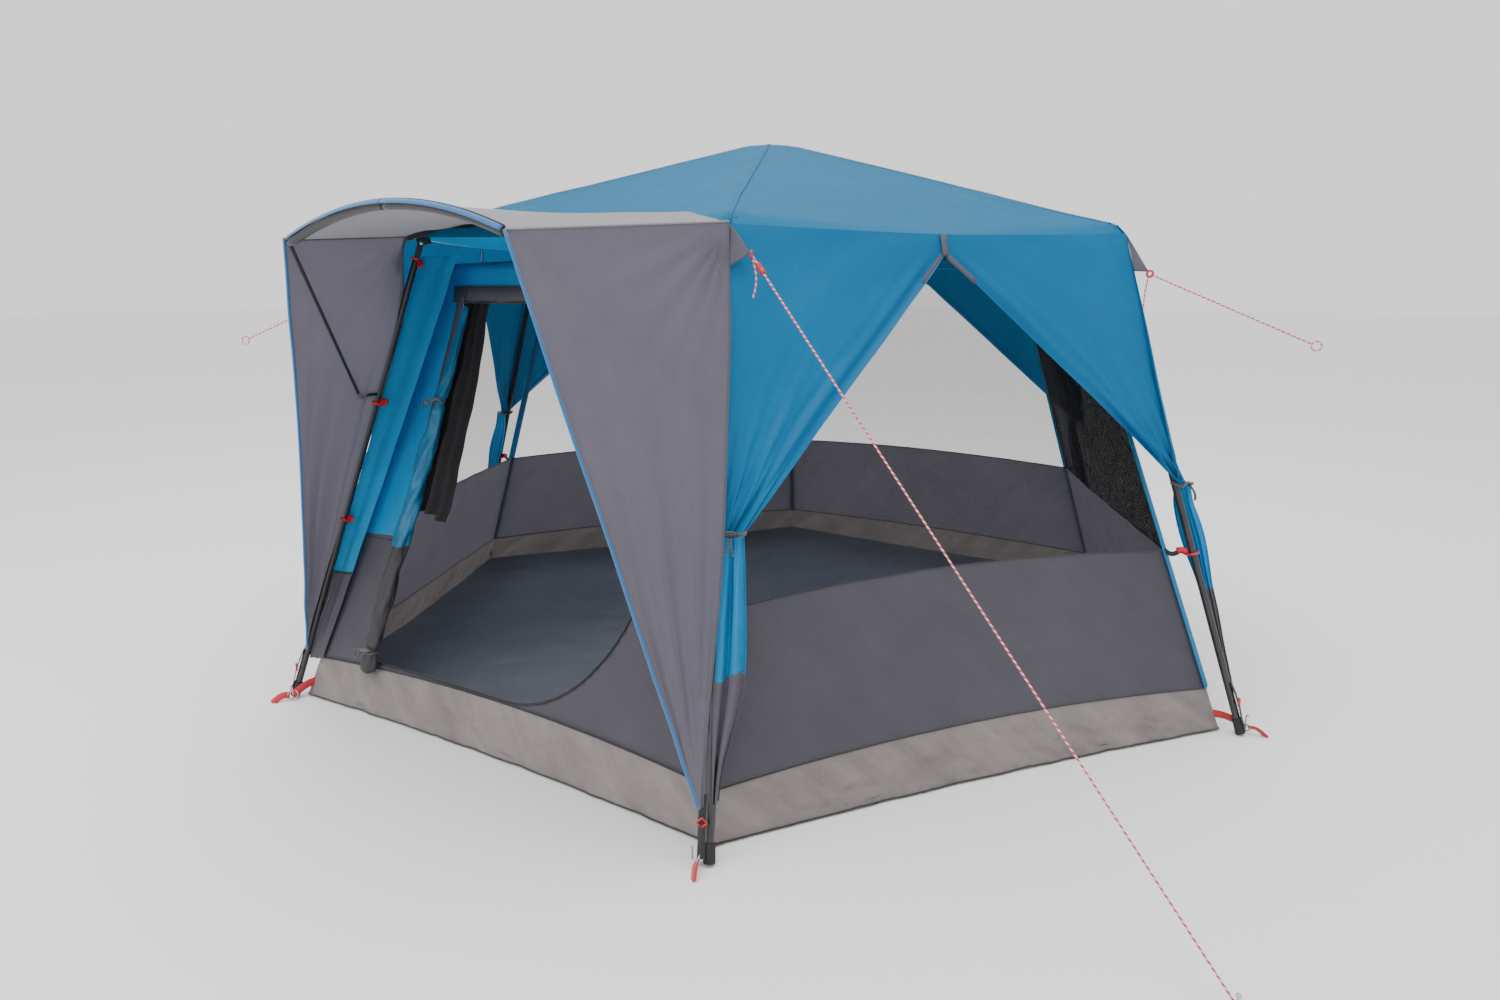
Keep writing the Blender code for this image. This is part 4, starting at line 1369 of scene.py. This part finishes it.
def make_foot_strap(corner):
    """A foot's red webbing from the floor's corner, with its ring, pull tab and ground pin."""
    angle = CORNERS[corner]
    out, across = radial(angle), tangent(angle) * (-1 if corner == "F" else 1)
    floor_corner = at(angle, FLOOR_R - 0.01, 0.055)
    ring_at = at(angle, FOOT_R + 0.004, 0.020) + across * 0.030
    strap = [mix(floor_corner, ring_at, t) + up(0.010 * sin(pi * t)) for t in steps(8)]
    pull = [ring_at + out * (0.010 + 0.060 * t) + up(0.008 * sin(4 * t) - 0.014 * t) for t in steps(8)]
    top = ring_at + across * 0.012 + up(0.030)
    pin = [top + out * 0.010 + up(0.006), top + out * 0.004 + up(0.008), top + up(0.004)]
    pin += [top - up(drop) for drop in (0, 0.008, 0.018, 0.028)]
    parts = [
        ribbon("foot_strap", strap, 0.026, across + out * 0.5, "red_web", 0.0022),
        tube_mesh("foot_ring", ring_points(ring_at, across + up(0.5), 0.017, 18), 0.0024, "steel"),
        ribbon("foot_pull", pull, 0.024, up(0.7) + across * 0.7, "red_web", 0.0022),
        tube_mesh("foot_pin", pin, 0.0026, "steel"),
    ]
    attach(joined("foot_strap_" + corner, parts), "inner_tent")


def make_leg_strap(corner):
    """The black strap up a leg's foot, with its square buckle."""
    angle = CORNERS[corner]
    out = radial(angle)
    beside = tangent(angle) * (-0.020 if corner == "F" else 0)
    route = ((0.110, 0.013), (0.085, 0.019), (0.060, 0.020), (0.035, 0.017), (0.016, 0.020))
    path = [leg_point(angle, share) + out * reach + beside for share, reach in route]
    buckle = ring_points(leg_point(angle, 0.070) + out * 0.022 + beside, out, 0.013, 4, 45)
    parts = [
        ribbon("leg_strap_" + corner, path, 0.020, out, "trim", 0.002),
        tube_mesh("leg_buckle_" + corner, buckle, 0.0035, "red"),
    ]
    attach(joined("leg_strap_set_" + corner, parts), "leg_" + corner)


def make_guy_tab(corner):
    """The grey tab on a corner of the fly, with its ring and the spare end of a guy line."""
    angle = CORNERS[corner]
    out, across = radial(angle), tangent(angle)
    start = guy_start(corner)
    root = roof_point(angle, 1, 1, 0) + out * 0.003
    low = curtain_point(corner, -1 if corner == "L" else 1, 0.15, 0) + out * 0.003
    reach = (start - root).normalized()

    def point(u, v):
        tab = mix(mix(root, low, v), start - reach * 0.010, u)
        return tab + across * (0.004 * sin(5 * v + 3 * u) * (1 - u))

    ring = ring_points(start - reach * 0.002, across, 0.010)
    parts = [surface("guy_tab", point, 12, 10, "grey", thick=0.0022)]
    parts.append(tube_mesh("guy_tab_ring", ring, 0.0036, "red"))
    if corner in GUY_ENDS:
        swing = []
        for t in steps(12):
            back = out * (0.006 + 0.010 * sin(2.2 * t))
            swing.append(start - up(0.006 + 0.105 * t) + across * (0.010 * sin(3 * t)) - back)
        parts.append(tube_mesh("guy_tail", swing, ROPE_R, "rope"))
    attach(joined("guy_tab_" + corner, parts), "leg_" + corner)


def make_elbow_trim(corner):
    """A grey collar and two pivot caps on a black elbow."""
    run, drop = ELBOW_R - HUB_PIVOT_R, HUB_PIVOT_Z - EAVE_Z
    fall = atan2(drop, run) - asin(ELBOW_OFFSET / hypot(run, drop))
    angle = CORNERS[corner]
    along = radial(angle) * cos(fall) - up(sin(fall))
    tip = at(angle, HUB_PIVOT_R, HUB_PIVOT_Z) + along * ROOF_POLE
    parts = []
    for k in (-1, 1):
        cap = [elbow(angle) + tangent(angle) * (k * x) for x in (0.0185, 0.0215, 0.0230)]
        parts.append(tube_mesh("pivot_cap", cap, 0.0085, "steel", 14, lambda t: 1 - 0.4 * t * t))
    collar = [tip - along * (0.0925 - 0.004 * i) for i in range(4)]
    parts.append(tube_mesh("pole_collar", collar, 0.0175, "wall", 18))
    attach(joined("elbow_trim_" + corner, parts), "roof_" + corner)


def finish_cad_materials():
    """Looks for the CAD's own pieces, by how their names start; the first that fits is taken."""
    choice = (
        ("hub_ring", "steel"), ("hub", "black"), ("roof_pole", "pole"), ("leg", "pole"), ("elbow", "black"),
        ("foot", "rubber"), ("awning_strut", "rod"), ("awning_arch", "rod"), ("guy_runner", "red"),
        ("guy_peg", "steel"), ("groundsheet", "band"),
    )
    for name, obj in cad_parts.items():
        for start, mat in choice:
            if name.startswith(start):
                obj.data.materials.clear()
                obj.data.materials.append(M[mat])
                break


set_stage()
make_guys()
make_roof()
make_curtains()
make_eave_tapes()
make_walls()
make_floor()
make_ceiling()
make_canopy()
make_canopy_seam()
for corner, sign in (("L", -1), ("F", 1)):
    make_awning_side(corner, sign)
    make_arch(corner, sign)
make_hooks()
for corner in ORDER:
    make_foot_strap(corner)
    make_leg_strap(corner)
for corner in ORDER:
    make_guy_tab(corner)
for corner in ORDER:
    make_elbow_trim(corner)
finish_cad_materials()
